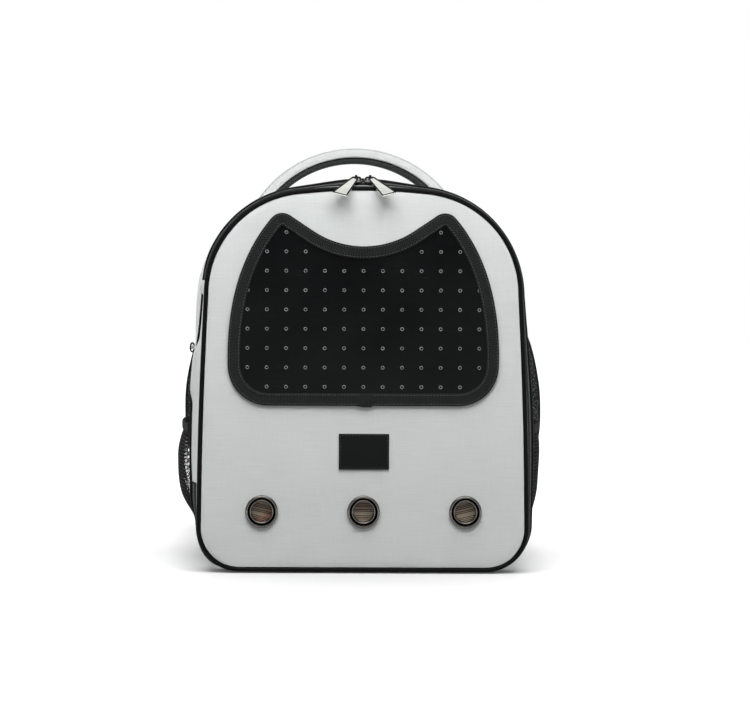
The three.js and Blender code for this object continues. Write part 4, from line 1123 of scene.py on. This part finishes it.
# Zip sliders: two cast nickel sliders at the top of the coil, nose to nose.
# Each is a tapered body with a wire bridge along the zip, which its pull hangs from.
SLIDER_X, SLIDER_LENGTH, SLIDER_WIDTH, SLIDER_NOSE, SLIDER_HEIGHT, SLIDER_ROLL = 7.3, 12, 9, 6.2, 2.2, 0.5
BRIDGE_POST, BRIDGE_ROOT, BRIDGE_RISE, BRIDGE_WIRE = 4.7, 1.3, 5.2, 0.9
BRIDGE_STEPS, BRIDGE_SQUARE, BRIDGE_DARK = 25, 0.45, 2.5
NICKEL, NICKEL_SHADE, NICKEL_ROUGH, NICKEL_GRAIN = (138, 138, 133), (84, 84, 81), 0.22, 0.9
SIDES = (("left", -1), ("right", 1))
top_station = np.array([0, HIGH, 0, 1])
slope = math.atan2(rim_out(top_station) - BAND_FRONT_OUT, BAND_BACK - BAND_FRONT)
coil_top = HIGH + band_out(band_middle, top_station) + COIL_RISE + 2 * GAP


def on_bridge(along, height):
    """1 on a slider's bridge, above its body."""
    return height > BRIDGE_DARK


def swept(path, section, across, thick):
    """A section carried along a path: its first values lie across the strip and its second through it."""
    across, thick = (np.atleast_2d(axis)[:, None, :] for axis in (across, thick))
    return path[:, None, :] + section[..., :1] * across + section[..., 1:] * thick


def tube(path, radius, sides=12):
    """A wire along a path in its own XZ plane: its points and faces, closed at both ends."""
    along = unit(np.gradient(path, axis=0))
    out = np.column_stack([along[:, 2], np.zeros(len(path)), -along[:, 0]])
    rings = swept(path, circle(0, 0, radius, sides), out, (0, 1, 0))
    return rings.reshape(-1, 3), quads(len(path), sides)


def together(*shapes):
    """Several shapes as one set of points and faces."""
    points, faces, start = [], [], 0
    for some, these in shapes:
        points.append(some)
        faces += [[v + start for v in face] for face in these]
        start += len(some)
    return np.vstack(points), faces


def tilted(points, angle):
    """Points turned about the X axis."""
    c, s = math.cos(angle), math.sin(angle)
    return points @ np.array([[1, 0, 0], [0, c, s], [0, -s, c]])


nickel = metal("nickel", NICKEL, NICKEL_SHADE, NICKEL_ROUGH, NICKEL_GRAIN, on_bridge)
half_length, half_width, half_nose = SLIDER_LENGTH / 2, SLIDER_WIDTH / 2, SLIDER_NOSE / 2
slider_outline = [(-half_length, -half_nose), (-half_length / 2, -half_width), (half_length / 2, -half_width)]
slider_outline += [(half_length, -half_nose), (half_length, half_nose), (half_length / 2, half_width)]
slider_outline += [(-half_length / 2, half_width), (-half_length, half_nose)]
bridge_turn = np.linspace(0, math.pi, BRIDGE_STEPS)
bridge_lean = np.sign(np.cos(bridge_turn)) * np.abs(np.cos(bridge_turn)) ** BRIDGE_SQUARE
bridge_rise = BRIDGE_ROOT + (BRIDGE_RISE - BRIDGE_ROOT) * np.sin(bridge_turn) ** BRIDGE_SQUARE
bridge_path = np.column_stack([-BRIDGE_POST * bridge_lean, np.zeros(BRIDGE_STEPS), bridge_rise])
slider_body = tablet(slider_outline, SLIDER_HEIGHT, SLIDER_ROLL)
slider_points, slider_faces = together(slider_body, tube(bridge_path, BRIDGE_WIRE))
for word, side in SIDES:
    placed = tilted(slider_points, slope) + (side * SLIDER_X, band_middle, coil_top)
    mesh = shaped("slider_" + word, placed, slider_faces, slider_points[:, [0, 2]])
    piece("slider_" + word, mesh, nickel, ["zip_slider_" + word])

# Zip pulls: flared nickel tabs with a bevelled frame round a sunk bright face; the frame is painted dark,
# standing in for dark reflection on the bevel.
# Each hangs by an eye on its slider's bridge, swings on it, and rests on the door's piping.
PULL_LENGTH, PULL_START, PULL_NECK, PULL_FOOT, PULL_THICK, PULL_SPLAY = 39.6, 1.9, 7.4, 16.6, 2, 27.5
PULL_EDGE, PULL_EDGE_FLAT, PULL_SINK, PULL_ROLL = 1.5, 0.825, 0.55, 0.45
PULL_FACE_STEP, PULL_FACE_RISE = 0.5, 0.12
PULL_PAINTED_EDGE, PULL_PAINTED_FADE, PULL_ROUGH, PULL_GRAIN = 1.6, 4, 0.2, 0.9
PULL_NICKEL, PULL_NICKEL_SHADE = (246, 246, 240), (214, 214, 207)
EYE_RADIUS, EYE_WIRE, EYE_STRETCH, EYE_STEPS, EYE_SIDES = 2.0, 0.5, 2.6, 28, 10
pull_outline = [(-PULL_NECK / 2, -PULL_START), (-PULL_FOOT / 2, -PULL_LENGTH)]
pull_outline += [(PULL_FOOT / 2, -PULL_LENGTH), (PULL_NECK / 2, -PULL_START)]


def framed_tab(outline, thick):
    """A tab with rolled edges whose front face is set down inside a bevelled frame: points and faces."""
    made = raised(outline, -thick / 2, thick)
    bmesh.ops.recalc_face_normals(made, faces=made.faces)
    rolled(made, PULL_ROLL)
    made.normal_update()
    front = max(made.faces, key=lambda f: f.normal.z * f.calc_area())
    bmesh.ops.inset_region(made, faces=[front], thickness=PULL_EDGE_FLAT)
    bmesh.ops.inset_region(made, faces=[front], thickness=PULL_EDGE - PULL_EDGE_FLAT, depth=-PULL_SINK)
    bmesh.ops.inset_region(made, faces=[front], thickness=PULL_FACE_STEP, depth=PULL_FACE_RISE)
    return shape_of(made)


def spun(points, degrees):
    """Points turned about the Z axis."""
    c, s = math.cos(math.radians(degrees)), math.sin(math.radians(degrees))
    return points @ np.array([[c, s, 0], [-s, c, 0], [0, 0, 1]])


def on_painted_frame(along, across):
    """1 on a pull's bevelled frame, where its run in from the edge is short: painted dark reflection."""
    return (PULL_PAINTED_EDGE - along) * PULL_PAINTED_FADE + 0.5


pull_nickel = metal("pull_nickel", PULL_NICKEL, PULL_NICKEL_SHADE, PULL_ROUGH, PULL_GRAIN, on_painted_frame)
tab_points, tab_faces = framed_tab(pull_outline, PULL_THICK)
flare = (PULL_FOOT - PULL_NECK) / 2 / (PULL_LENGTH - PULL_START)
from_side = PULL_NECK / 2 + flare * (-PULL_START - tab_points[:, 1]) - np.abs(tab_points[:, 0])
from_foot = tab_points[:, 1] + PULL_LENGTH
tab_inset = np.where(tab_points[:, 2] > 0, np.minimum(from_side, from_foot), PULL_NECK)
eye_points, eye_faces = ring_shape(EYE_RADIUS, EYE_WIRE, EYE_STEPS, EYE_SIDES)
eye_points = eye_points[:, [2, 1, 0]] * (EYE_STRETCH, 1, 1)
for joint in frame["joints"]:
    pivot = np.array(joint["pos_m"]) / MM
    side = math.copysign(1, pivot[0])
    word = "right" if side > 0 else "left"
    back, up = pivot[1] - PIPING_DEPTH, pivot[2] - HIGH - PIPING_OUT
    rest = math.atan2(up, back) - math.asin((PIPING_RADIUS + PULL_THICK / 2 + GAP) / math.hypot(back, up))
    splayed = (spun(tab_points, side * PULL_SPLAY), tab_faces)
    pull_points, pull_faces = together(splayed, (eye_points, eye_faces))
    # The eye gets no inset, so the painted dark covers it all over.
    inset = np.concatenate([tab_inset, np.zeros(len(eye_points))])
    pull_run = np.column_stack([inset, pull_points[:, 1]])
    mesh = shaped("pull_tab_" + word, tilted(pull_points, rest) + pivot, pull_faces, pull_run)
    piece("pull_tab_" + word, mesh, pull_nickel, ["zip_pull_" + word], body=joint["child"])

# Side pockets: black knotless net, gathered to a bellied pocket on each side of the gusset.
# The net is sewn to the gusset at the front, bottom and back under a flat black tape.
POCKET_FRONT, POCKET_BACK, POCKET_LOW, POCKET_HIGH, POCKET_FULL, POCKET_ROUND = -70, 78, 43, 141, 13, 0.7
POCKET_RISE = (0, 0.1, 0.22, 0.36, 0.5, 0.76, 0.89, 1)
POCKET_BELLY = {
    "left": (0, 0.24, 0.64, 0.9, 1, 1, 0.8, 0.52),
    "right": (0, 0.33, 0.76, 1, 1.03, 1.13, 1.1, 0.98),
}
BELLY_STEPS, BELLY_EASE, BELLY_MEASURED = 200, 12, 0.6
NET_PITCH, NET_THREAD, NET_STAND, NET_SHARE = 4.6, 0.95, 1.4, 0.5
NET_BLACK, NET_SHADE = (24, 25, 25), (8, 9, 9)
NET_SHINE, NET_GLOSS, NET_GRAIN = 0.3, (0.6, 0.25), (1.1, 3)
NET_TAPE_WIDTH, NET_TAPE_THICK, NET_TAPE_STAND, NET_TAPE_SECTION = 8, 1.2, 0.9, (0.3, 0.6, 16)
NET_TAPE_BLACK, NET_TAPE_SHADE, NET_TAPE_RIB, NET_TAPE_RELIEF = (48, 49, 49), (20, 21, 21), 1.3, 0.2
NET_SIDE_STEPS, NET_FOOT_STEPS = 40, 60


def side_x(depth, z):
    """Where the gusset's right side stands at a depth and height."""
    share = np.clip((z - LOW - CORNER) / (spring - LOW - CORNER), 0, 1)
    half = HALF_LOW + (HALF_HIGH - HALF_LOW) * share + SIDE_BOW * np.sin(math.pi * share)
    edge, belly, up, _ = gusset_at(depth)
    return half + edge + bellied(z, belly, up)


def on_pocket(word, across, rise, stand):
    """Points on a pocket's net, as on the right: across goes from -1 to 1, and rise from 0 to 1."""
    depth = (POCKET_FRONT + POCKET_BACK) / 2 + across * (POCKET_BACK - POCKET_FRONT) / 2
    z = POCKET_LOW + rise * (POCKET_HIGH - POCKET_LOW)
    belly = np.interp(rise, belly_rise, belly_curve[word])
    fullness = POCKET_FULL * belly * np.maximum(1 - across**2, 0) ** POCKET_ROUND
    tuck = foot_tuck(z) * (word == "left")
    return np.column_stack([side_x(depth, z) - tuck + stand + fullness, depth, z])


def eased(values, width):
    """A row of values smoothed by a moving average that keeps its ends."""
    before = 2 * values[0] - values[width:0:-1]
    after = 2 * values[-1] - values[-2 : -width - 2 : -1]
    padded = np.concatenate([before, values, after])
    return np.convolve(padded, np.ones(2 * width + 1) / (2 * width + 1), "valid")


def honeycomb(width, height, pitch):
    """Six-sided cells over a rectangle: their points and faces, squeezed in at its edges."""
    radius = pitch / math.sqrt(3)
    points, faces, found = [], [], {}
    for row in range(int(height / (1.5 * radius)) + 2):
        for column in range(int(width / pitch) + 2):
            x, y = (column + 0.5 * (row % 2)) * pitch, row * 1.5 * radius
            if x > width + pitch / 4 or y > height + radius / 2:
                continue
            face = []
            for k in range(6):
                turn = math.radians(60 * k + 30)
                corner = (x + radius * math.cos(turn), y + radius * math.sin(turn))
                key = (round(corner[0] * 50), round(corner[1] * 50))
                if key not in found:
                    found[key] = len(points)
                    points.append(corner)
                face.append(found[key])
            faces.append(face)
    return np.clip(np.array(points), 0, (width, height)), faces


belly_rise = np.linspace(0, 1, BELLY_STEPS)
belly_curve = {
    word: eased(np.interp(belly_rise, POCKET_RISE, belly), BELLY_EASE) for word, belly in POCKET_BELLY.items()
}
net_thread = grained("net_thread", NET_SHADE, NET_BLACK, NET_SHINE, NET_GLOSS, NET_GRAIN)
net_tape = ribbed_tape("net_tape", NET_TAPE_BLACK, NET_TAPE_SHADE, NET_TAPE_RIB, NET_TAPE_RELIEF)
net_tape_section = soft_section(NET_TAPE_WIDTH, NET_TAPE_THICK, *NET_TAPE_SECTION)
side_rise, foot_across = np.linspace(0, 1, NET_SIDE_STEPS), np.linspace(-1, 1, NET_FOOT_STEPS)

# Each sewn edge of the net: its place, its line across and up the pocket, and which way its tape is wide
net_edges = (
    ("front", np.full(NET_SIDE_STEPS, -1.0), side_rise, (0, 1, 0)),
    ("back", np.full(NET_SIDE_STEPS, 1.0), side_rise, (0, 1, 0)),
    ("bottom", foot_across, np.zeros(NET_FOOT_STEPS), (0, 0, 1)),
)
for word, side in SIDES:
    mirror = np.array([side, 1, 1])
    up_middle = on_pocket(word, np.zeros(NET_FOOT_STEPS), np.linspace(0, 1, NET_FOOT_STEPS), 0)
    round_belly = on_pocket(word, foot_across, np.full(NET_FOOT_STEPS, BELLY_MEASURED), 0)
    net_height, net_width = run_of(up_middle)[-1], run_of(round_belly)[-1]
    net_points, net_faces = honeycomb(net_width, net_height, NET_PITCH)
    across, rise = 2 * net_points[:, 0] / net_width - 1, net_points[:, 1] / net_height
    spots = on_pocket(word, across, rise, NET_STAND) * mirror
    mesh = shaped("pocket_net_" + word, spots, net_faces, net_points)
    net = piece("pocket_net_" + word, mesh, net_thread, ["pocket_" + word])
    wires = net.modifiers.new("threads", "WIREFRAME")
    wires.thickness = NET_THREAD * MM
    wires.use_boundary = True
    wires.use_even_offset = False
    bpy.context.view_layer.update()
    worked = bpy.data.meshes.new_from_object(net.evaluated_get(bpy.context.evaluated_depsgraph_get()))
    net.modifiers.clear()
    net.data = worked

    for place, across, rise, wide in net_edges:
        strip = swept(on_pocket(word, across, rise, NET_TAPE_STAND), net_tape_section, wide, (1, 0, 0))
        name = f"pocket_tape_{place}_{word}"
        piece(name, skin(name, strip * mirror, run_of(strip[:, 0])), net_tape)

# Pocket hems: flat black elastic folded over the net's top edge, which draws it in.
# The elastic is ribbed upright, and it gathers in small waves between its stitches.
HEM_LOW, HEM_HEIGHT, HEM_THICK, HEM_GATHER, HEM_GATHER_PITCH = 141.3, 9, 2.4, 0.35, 5.2
HEM_STEPS, HEM_SECTION, HEM_SINK = 140, (0.35, 0.6, 20), 0.6
HEM_BLACK, HEM_SHADE, HEM_RIB, HEM_RELIEF = (42, 43, 43), (14, 15, 15), 1.0, 0.25
hem_across = np.linspace(-1, 1, HEM_STEPS)
hem_section = soft_section(HEM_HEIGHT, HEM_THICK, *HEM_SECTION)
elastic = ribbed_tape("hem_elastic", HEM_BLACK, HEM_SHADE, HEM_RIB, HEM_RELIEF)
for word, side in SIDES:
    path = on_pocket(word, hem_across, np.ones(HEM_STEPS), NET_STAND + HEM_THICK / 2 - HEM_SINK)
    path[:, 2] = HEM_LOW + HEM_HEIGHT / 2
    hem_run = run_of(path)
    path[:, 0] += HEM_GATHER * np.sin(hem_run * 2 * math.pi / HEM_GATHER_PITCH) * (1 - hem_across**2)
    out = np.cross(unit(np.gradient(path, axis=0)), (0, 0, 1))
    grid = swept(path, hem_section, (0, 0, 1), out) * (side, 1, 1)
    name = "hem_elastic_" + word
    piece(name, skin(name, grid, hem_run), elastic, ["pocket_hem_" + word])

# Side ring: a small black wire ring on a folded tab of the shell cloth, sewn into the left side.
# The ring hangs through the tab's fold, turned towards the front.
RING_Z, RING_DEPTH, RING_RADIUS, RING_WIRE, RING_STAND, RING_TURN = 232, -84, 4.6, 0.9, 1, 65
RING_STEPS, RING_SIDES = 48, 14
RING_BLACK, RING_SHADE = (20, 21, 21), (8, 9, 9)
RING_SHINE, RING_GLOSS, RING_GRAIN = 0.15, (0.3, 0.2), (0.9, 3)
TAB_HEIGHT, TAB_SLOT, TAB_LEG, TAB_NOSE, TAB_THICK = 4, 3.2, 3.4, 1.3, 1
TAB_LEG_STEPS, TAB_NOSE_STEPS, TAB_SECTION = 6, 13, (0.35, 0.6, 16)
ring_lacquer = grained("ring_lacquer", RING_SHADE, RING_BLACK, RING_SHINE, RING_GLOSS, RING_GRAIN)
tab_x = float(side_x(RING_DEPTH, RING_Z)) + 2 * GAP
ring_points, ring_faces = ring_shape(RING_RADIUS, RING_WIRE, RING_STEPS, RING_SIDES)
ring_upright = ring_points[:, [0, 2, 1]] - (RING_RADIUS, 0, 0)
ring_placed = spun(ring_upright, RING_TURN) + (-tab_x - RING_STAND, RING_DEPTH, RING_Z)
ring_mesh = shaped("wire_ring", ring_placed, ring_faces, ring_points[:, :2])
piece("wire_ring", ring_mesh, ring_lacquer, ["side_ring"])

fold_half = TAB_SLOT / 2 + TAB_THICK / 2
fold_leg = np.linspace(0, TAB_LEG, TAB_LEG_STEPS)
fold_turn = np.linspace(-math.pi / 2, math.pi / 2, TAB_NOSE_STEPS)[1:-1]
fold_path = np.vstack(
    [
        np.column_stack([fold_leg, np.full(TAB_LEG_STEPS, -fold_half)]),
        np.column_stack([TAB_LEG + TAB_NOSE * np.cos(fold_turn), fold_half * np.sin(fold_turn)]),
        np.column_stack([fold_leg[::-1], np.full(TAB_LEG_STEPS, fold_half)]),
    ]
)
fold_along = unit(np.gradient(fold_path, axis=0))
fold_level = np.zeros(len(fold_path))
fold_out = np.column_stack([fold_along[:, 1], -fold_along[:, 0], fold_level])
fold_path = np.column_stack([fold_path, fold_level])
fold_section = soft_section(TAB_HEIGHT, TAB_THICK, *TAB_SECTION)
tab_grid = swept(fold_path, fold_section, (0, 0, 1), fold_out) * (-1, 1, 1) + (-tab_x, RING_DEPTH, RING_Z)
piece("ring_fold", skin("ring_fold", tab_grid, run_of(fold_path)), shell_cloth, ["ring_tab"])

# Shoulder straps: curved foam pads in black cloth, sewn to the back panel at the top.
# Each is bound along both edges with ribbed tape, and the foam swells a little between them.
STRAP_ROUTE = ((60, 124.6, 378), (69, 127, 356), (106, 149, 302), (147, 160, 232), (163, 158, 180))
STRAP_ROUTE += ((167.3, 151.5, 136), (168, 147, 109))
STRAP_WIDTHS = (60, 62, 64, 62, 58, 51, 42)
STRAP_LOOSE = (0, 0, 0.4, 1, 1, 1, 1)
STRAP_BOW = {"left": 0, "right": 27}
STRAP_THICK, STRAP_STEPS, STRAP_EASE, STRAP_SECTION = 11, 96, 6, (0.75, 0.7, 36)
STRAP_QUILT, STRAP_QUILT_WAVE = 0.04, 0.09
STRAP_PITCH, STRAP_RELIEF, STRAP_GLINT = 2.4, 0.3, 0.66
BIND_WIDTH, BIND_THICK, BIND_LAP, BIND_SECTION = 5, 6.4, 0.4, (0.6, 0.6, 18)
BIND_BLACK, BIND_SHADE, BIND_RIB, BIND_RELIEF = (38, 39, 39), (18, 19, 19), 0.9, 0.2


def route(points, steps):
    """A smooth curve through a route's points, with its along, across and thick directions."""
    points = np.array(points, float)
    points = np.vstack([2 * points[0] - points[1], points, 2 * points[-1] - points[-2]])
    spans = np.linalg.norm(np.diff(points, axis=0), axis=1) ** 0.5
    share = np.linspace(0, len(points) - 3, steps + 1)
    k = np.minimum(share.astype(int), len(points) - 4)
    t = (share - k)[:, None]
    a, b, c, d = (points[k + i] for i in range(4))
    ta, tb, tc = (spans[k + i][:, None] for i in range(3))
    leave = ((b - a) / ta - (c - a) / (ta + tb) + (c - b) / tb) * tb
    arrive = ((c - b) / tb - (d - b) / (tb + tc) + (d - c) / tc) * tb
    path = b + leave * t + (3 * (c - b) - 2 * leave - arrive) * t**2 + (2 * (b - c) + leave + arrive) * t**3
    along = unit(np.gradient(path, axis=0))
    across = unit(np.array([1, 0, 0]) - along * along[:, :1])
    return path, along, across, np.cross(along, across)


def bowed_out(points, loose, word):
    """A route's points on one side of the bag, each with its share of that strap's sideways bow."""
    side = -1 if word == "left" else 1
    return [(side * (x + share * STRAP_BOW[word]), y, z) for (x, y, z), share in zip(points, loose)]


def ribbon(name, path, across, thick, sections):
    """A strip of changing section along a path."""
    grid = swept(path, sections, across, thick)
    return skin(name, grid, run_of(path), run_of(grid[len(path) // 2], loop=True))


strap_cloth = spacer_mesh("strap_cloth", STRAP_PITCH, STRAP_RELIEF, STRAP_GLINT)
strap_binding = ribbed_tape("strap_binding", BIND_BLACK, BIND_SHADE, BIND_RIB, BIND_RELIEF)
strap_share = np.linspace(0, len(STRAP_WIDTHS) - 1, STRAP_STEPS + 1)
widths = eased(np.interp(strap_share, range(len(STRAP_WIDTHS)), STRAP_WIDTHS), STRAP_EASE)
bind_inset = widths / 2 - BIND_WIDTH / 2 + BIND_LAP
strap_round = soft_section(2, 2, *STRAP_SECTION)
bind_section = soft_section(BIND_WIDTH, BIND_THICK, *BIND_SECTION)
strap_ends = {}
for word in STRAP_BOW:
    path, along, across, thick = route(bowed_out(STRAP_ROUTE, STRAP_LOOSE, word), STRAP_STEPS)
    quilting = 1 + STRAP_QUILT * np.sin(run_of(path) * STRAP_QUILT_WAVE)
    wide = np.outer(widths / 2, strap_round[:, 0])
    deep = np.outer(STRAP_THICK / 2 * quilting, strap_round[:, 1])
    name = "strap_pad_" + word
    mesh = ribbon(name, path, across, thick, np.stack([wide, deep], axis=-1))
    strap = piece(name, mesh, strap_cloth, ["strap_" + word])
    for edge, place in ((-1, "inner"), (1, "outer")):
        line = path + across * (edge * bind_inset)[:, None]
        name = f"strap_edge_{place}_{word}"
        piece(name, ribbon(name, line, across, thick, bind_section), strap_binding)
    strap_ends[word] = (path[-1], along[-1], across[-1], thick[-1])

# Strap buckles: moulded black plastic frames at the low end of each strap pad.
# The strap's end is sewn round the top bar, and the lower webbing runs through the slot.
BUCKLE_WIDTH, BUCKLE_LENGTH, BUCKLE_THICK, BUCKLE_BAR, BUCKLE_CORNER = 39, 28, 4, 4.5, 5
BUCKLE_STEP, BAR_SECTION = 1.5, (0.5, 0.5, 20)
BUCKLE_BLACK, BUCKLE_SHADE = (34, 35, 35), (22, 23, 23)
BUCKLE_SHINE, BUCKLE_GLOSS, BUCKLE_GRAIN, BUCKLE_RELIEF = 0.5, (0.38, 0.2), (1.5, 3), 0.06
buckle_look = (BUCKLE_SHINE, BUCKLE_GLOSS, BUCKLE_GRAIN)
buckle_plastic = grained("buckle_plastic", BUCKLE_SHADE, BUCKLE_BLACK, *buckle_look, relief=BUCKLE_RELIEF)
bar_x, bar_z = BUCKLE_WIDTH / 2 - BUCKLE_BAR / 2, BUCKLE_LENGTH - BUCKLE_BAR
buckle_ring = Outline(
    [
        straight((0, 0), (bar_x - BUCKLE_CORNER, 0)),
        arc((bar_x - BUCKLE_CORNER, BUCKLE_CORNER), BUCKLE_CORNER, -90, 0),
        straight((bar_x, BUCKLE_CORNER), (bar_x, bar_z - BUCKLE_CORNER)),
        arc((bar_x - BUCKLE_CORNER, bar_z - BUCKLE_CORNER), BUCKLE_CORNER, 0, 90),
        straight((bar_x - BUCKLE_CORNER, bar_z), (0, bar_z)),
    ]
)
buckle_run, buckle_stations = buckle_ring.loop(BUCKLE_STEP)
bar_section = soft_section(BUCKLE_BAR, BUCKLE_THICK, *BAR_SECTION)
bar_outs = np.tile(bar_section[:, 0], (len(buckle_stations), 1))
buckle_grid = carried(buckle_stations, bar_section[:, 1], bar_outs)
for word, (end, along, across, thick) in strap_ends.items():
    placed = end + along * (GAP + BUCKLE_BAR / 2) + buckle_grid @ np.array([across, thick, along])
    name = "buckle_frame_" + word
    mesh = skin(name, placed, buckle_run, loop=True)
    piece(name, mesh, buckle_plastic, ["strap_buckle_" + word])

# Lower webbing: flat black ribbed webbing from each buckle down to the foot of the back panel.
# It passes through the buckle's slot and over its lower bar.
# Its end is sewn flat to the back panel near the base.
WEBBING_WIDTH, WEBBING_THICK, WEBBING_STEPS, BAR_CLEAR = 25, 1.6, 80, 5.8
WEBBING_ROUTE = ((160, 128, 64), (153, 121, 49), (148, 119.4, 37), (145, 119.4, 24))
WEBBING_LOOSE = (0.8, 0.5, 0.25, 0.1)
WEBBING_BLACK, WEBBING_SHADE, WEBBING_RIB, WEBBING_RELIEF = (42, 43, 43), (18, 19, 19), 1.6, 0.3
WEBBING_SECTION = (0.2, 0.6, 24)
webbing_weave = ribbed_tape("webbing_weave", WEBBING_BLACK, WEBBING_SHADE, WEBBING_RIB, WEBBING_RELIEF)
webbing_section = soft_section(WEBBING_WIDTH, WEBBING_THICK, *WEBBING_SECTION)
for word, (end, along, across, thick) in strap_ends.items():
    in_slot = end + along * BUCKLE_LENGTH / 2
    past_bar = end + along * BUCKLE_LENGTH + thick * BAR_CLEAR
    lower = bowed_out(WEBBING_ROUTE, WEBBING_LOOSE, word)
    path, _, wide, flat = route([in_slot, past_bar, *lower], WEBBING_STEPS)
    name = "webbing_run_" + word
    mesh = ribbon(name, path, wide, flat, webbing_section)
    piece(name, mesh, webbing_weave, ["strap_webbing_" + word])

# Studio: a pale floor that runs on into a white background, with soft light from above and in front.
# The camera stands a little left of the bag and slightly above its middle, as the photograph was taken.
FLOOR_HALF, FLOOR_DROP = 6, 0.0004
PAPER = (0.65, 0.65, 0.65, 1)
GLOW_NEAR, GLOW_FAR, GLOW = 0.15, 0.7, 0.6
ASIDE_NEAR, ASIDE_FAR, ASIDE_GLOW = 0.155, 0.21, 0.26
SKY_FRONT, SKY_BACK, SKY_DIM, SKY_FULL = -0.4, 0.5, 0.25, 1.0
TOP_PLACE, TOP_AIM, TOP_SIZE, TOP_POWER = (0, -0.75, 1.45), (0, -0.12, 0.15), (1.6, 0.95), 30
SIDE_PLACE, SIDE_AIM, SIDE_SIZE, SIDE_POWER = (1.9, -1.7, 1.3), (0, -0.1, 0.2), (1.2, 1.6), 2.5
VIEW_WIDTH, SENSOR = 0.777, 36
CAMERA_PLACE, CAMERA_AIM, CAMERA_ROLL = (-0.11, -2.322, 0.32), (0.0119, -0.122, 0.2225), -0.2
floor_mesh = bpy.data.meshes.new("floor")
floor_corners = [(x, y, -FLOOR_DROP) for x, y in oblong(0, 0, 2 * FLOOR_HALF, 2 * FLOOR_HALF)]
floor_mesh.from_pydata(floor_corners, [], [(0, 1, 2, 3)])
floor = bpy.data.objects.new("floor", floor_mesh)
bpy.context.collection.objects.link(floor)
paper, paper_shade = finish("white_paper", {"Base Color": PAPER, "Roughness": 0.9, "Specular IOR Level": 0.1})
# The floor glows more with distance from the bag and towards its sides: painted light that keeps the far
# floor white and sets how the bag's shadow fades.
paper_place = paper_shade.node("NewGeometry", {}, {}, "Position")
paper_far = paper_place.node("VectorMath", {"operation": "LENGTH"}, {0: paper_place}, "Value")
paper_aside = abs(paper_place.node("SeparateXYZ", {}, {0: paper_place}))
far_glow = paper_far.ramp(GLOW_NEAR, GLOW_FAR, 0.0, GLOW)
paper_glow = far_glow + paper_aside.ramp(ASIDE_NEAR, ASIDE_FAR, 0.0, ASIDE_GLOW)
paper_glow.node("CombineColor", {}, {0: paper_glow, 1: paper_glow, 2: paper_glow}).feeds("Emission Color")
paper.node_tree.nodes["Principled BSDF"].inputs["Emission Strength"].default_value = 1
floor_mesh.materials.append(paper)
floor.visible_diffuse = False

world = bpy.data.worlds.new("studio")
world.use_nodes = True
bpy.context.scene.world = world
sky = world.node_tree.nodes["Background"]
look = Wire(sky.outputs[0]).node("TexCoord", {}, {}, "Generated")
behind = look.node("SeparateXYZ", {}, {0: look}, 1)
level = behind.ramp(SKY_FRONT, SKY_BACK, SKY_DIM, SKY_FULL)
world.node_tree.links.new(level.socket, sky.inputs["Strength"])
sky.inputs["Color"].default_value = (1, 1, 1, 1)


def softbox(name, place, aim, size, power):
    """A soft rectangular light that faces a point."""
    light = bpy.data.lights.new(name, "AREA")
    light.shape = "RECTANGLE"
    light.size, light.size_y = size
    light.energy = power
    lamp = bpy.data.objects.new(name, light)
    lamp.location = place
    lamp.rotation_euler = (Vector(aim) - Vector(place)).to_track_quat("-Z", "Y").to_euler()
    bpy.context.collection.objects.link(lamp)


softbox("top_light", TOP_PLACE, TOP_AIM, TOP_SIZE, TOP_POWER)
for word, side in SIDES:
    softbox(word + "_light", (side * SIDE_PLACE[0], *SIDE_PLACE[1:]), SIDE_AIM, SIDE_SIZE, SIDE_POWER)

camera_data = bpy.data.cameras.new("camera")
camera_data.sensor_fit = "HORIZONTAL"
camera_data.sensor_width = SENSOR
camera_data.lens = SENSOR * (CAMERA_AIM[1] - CAMERA_PLACE[1]) / VIEW_WIDTH
camera_data.shift_x = (CAMERA_AIM[0] - CAMERA_PLACE[0]) / VIEW_WIDTH
camera_data.shift_y = (CAMERA_AIM[2] - CAMERA_PLACE[2]) / VIEW_WIDTH
camera = bpy.data.objects.new("camera", camera_data)
camera.location = CAMERA_PLACE
camera.rotation_euler = (math.pi / 2, math.radians(CAMERA_ROLL), 0)
bpy.context.collection.objects.link(camera)
bpy.context.scene.camera = camera
bpy.context.scene.view_settings.view_transform = "Standard"
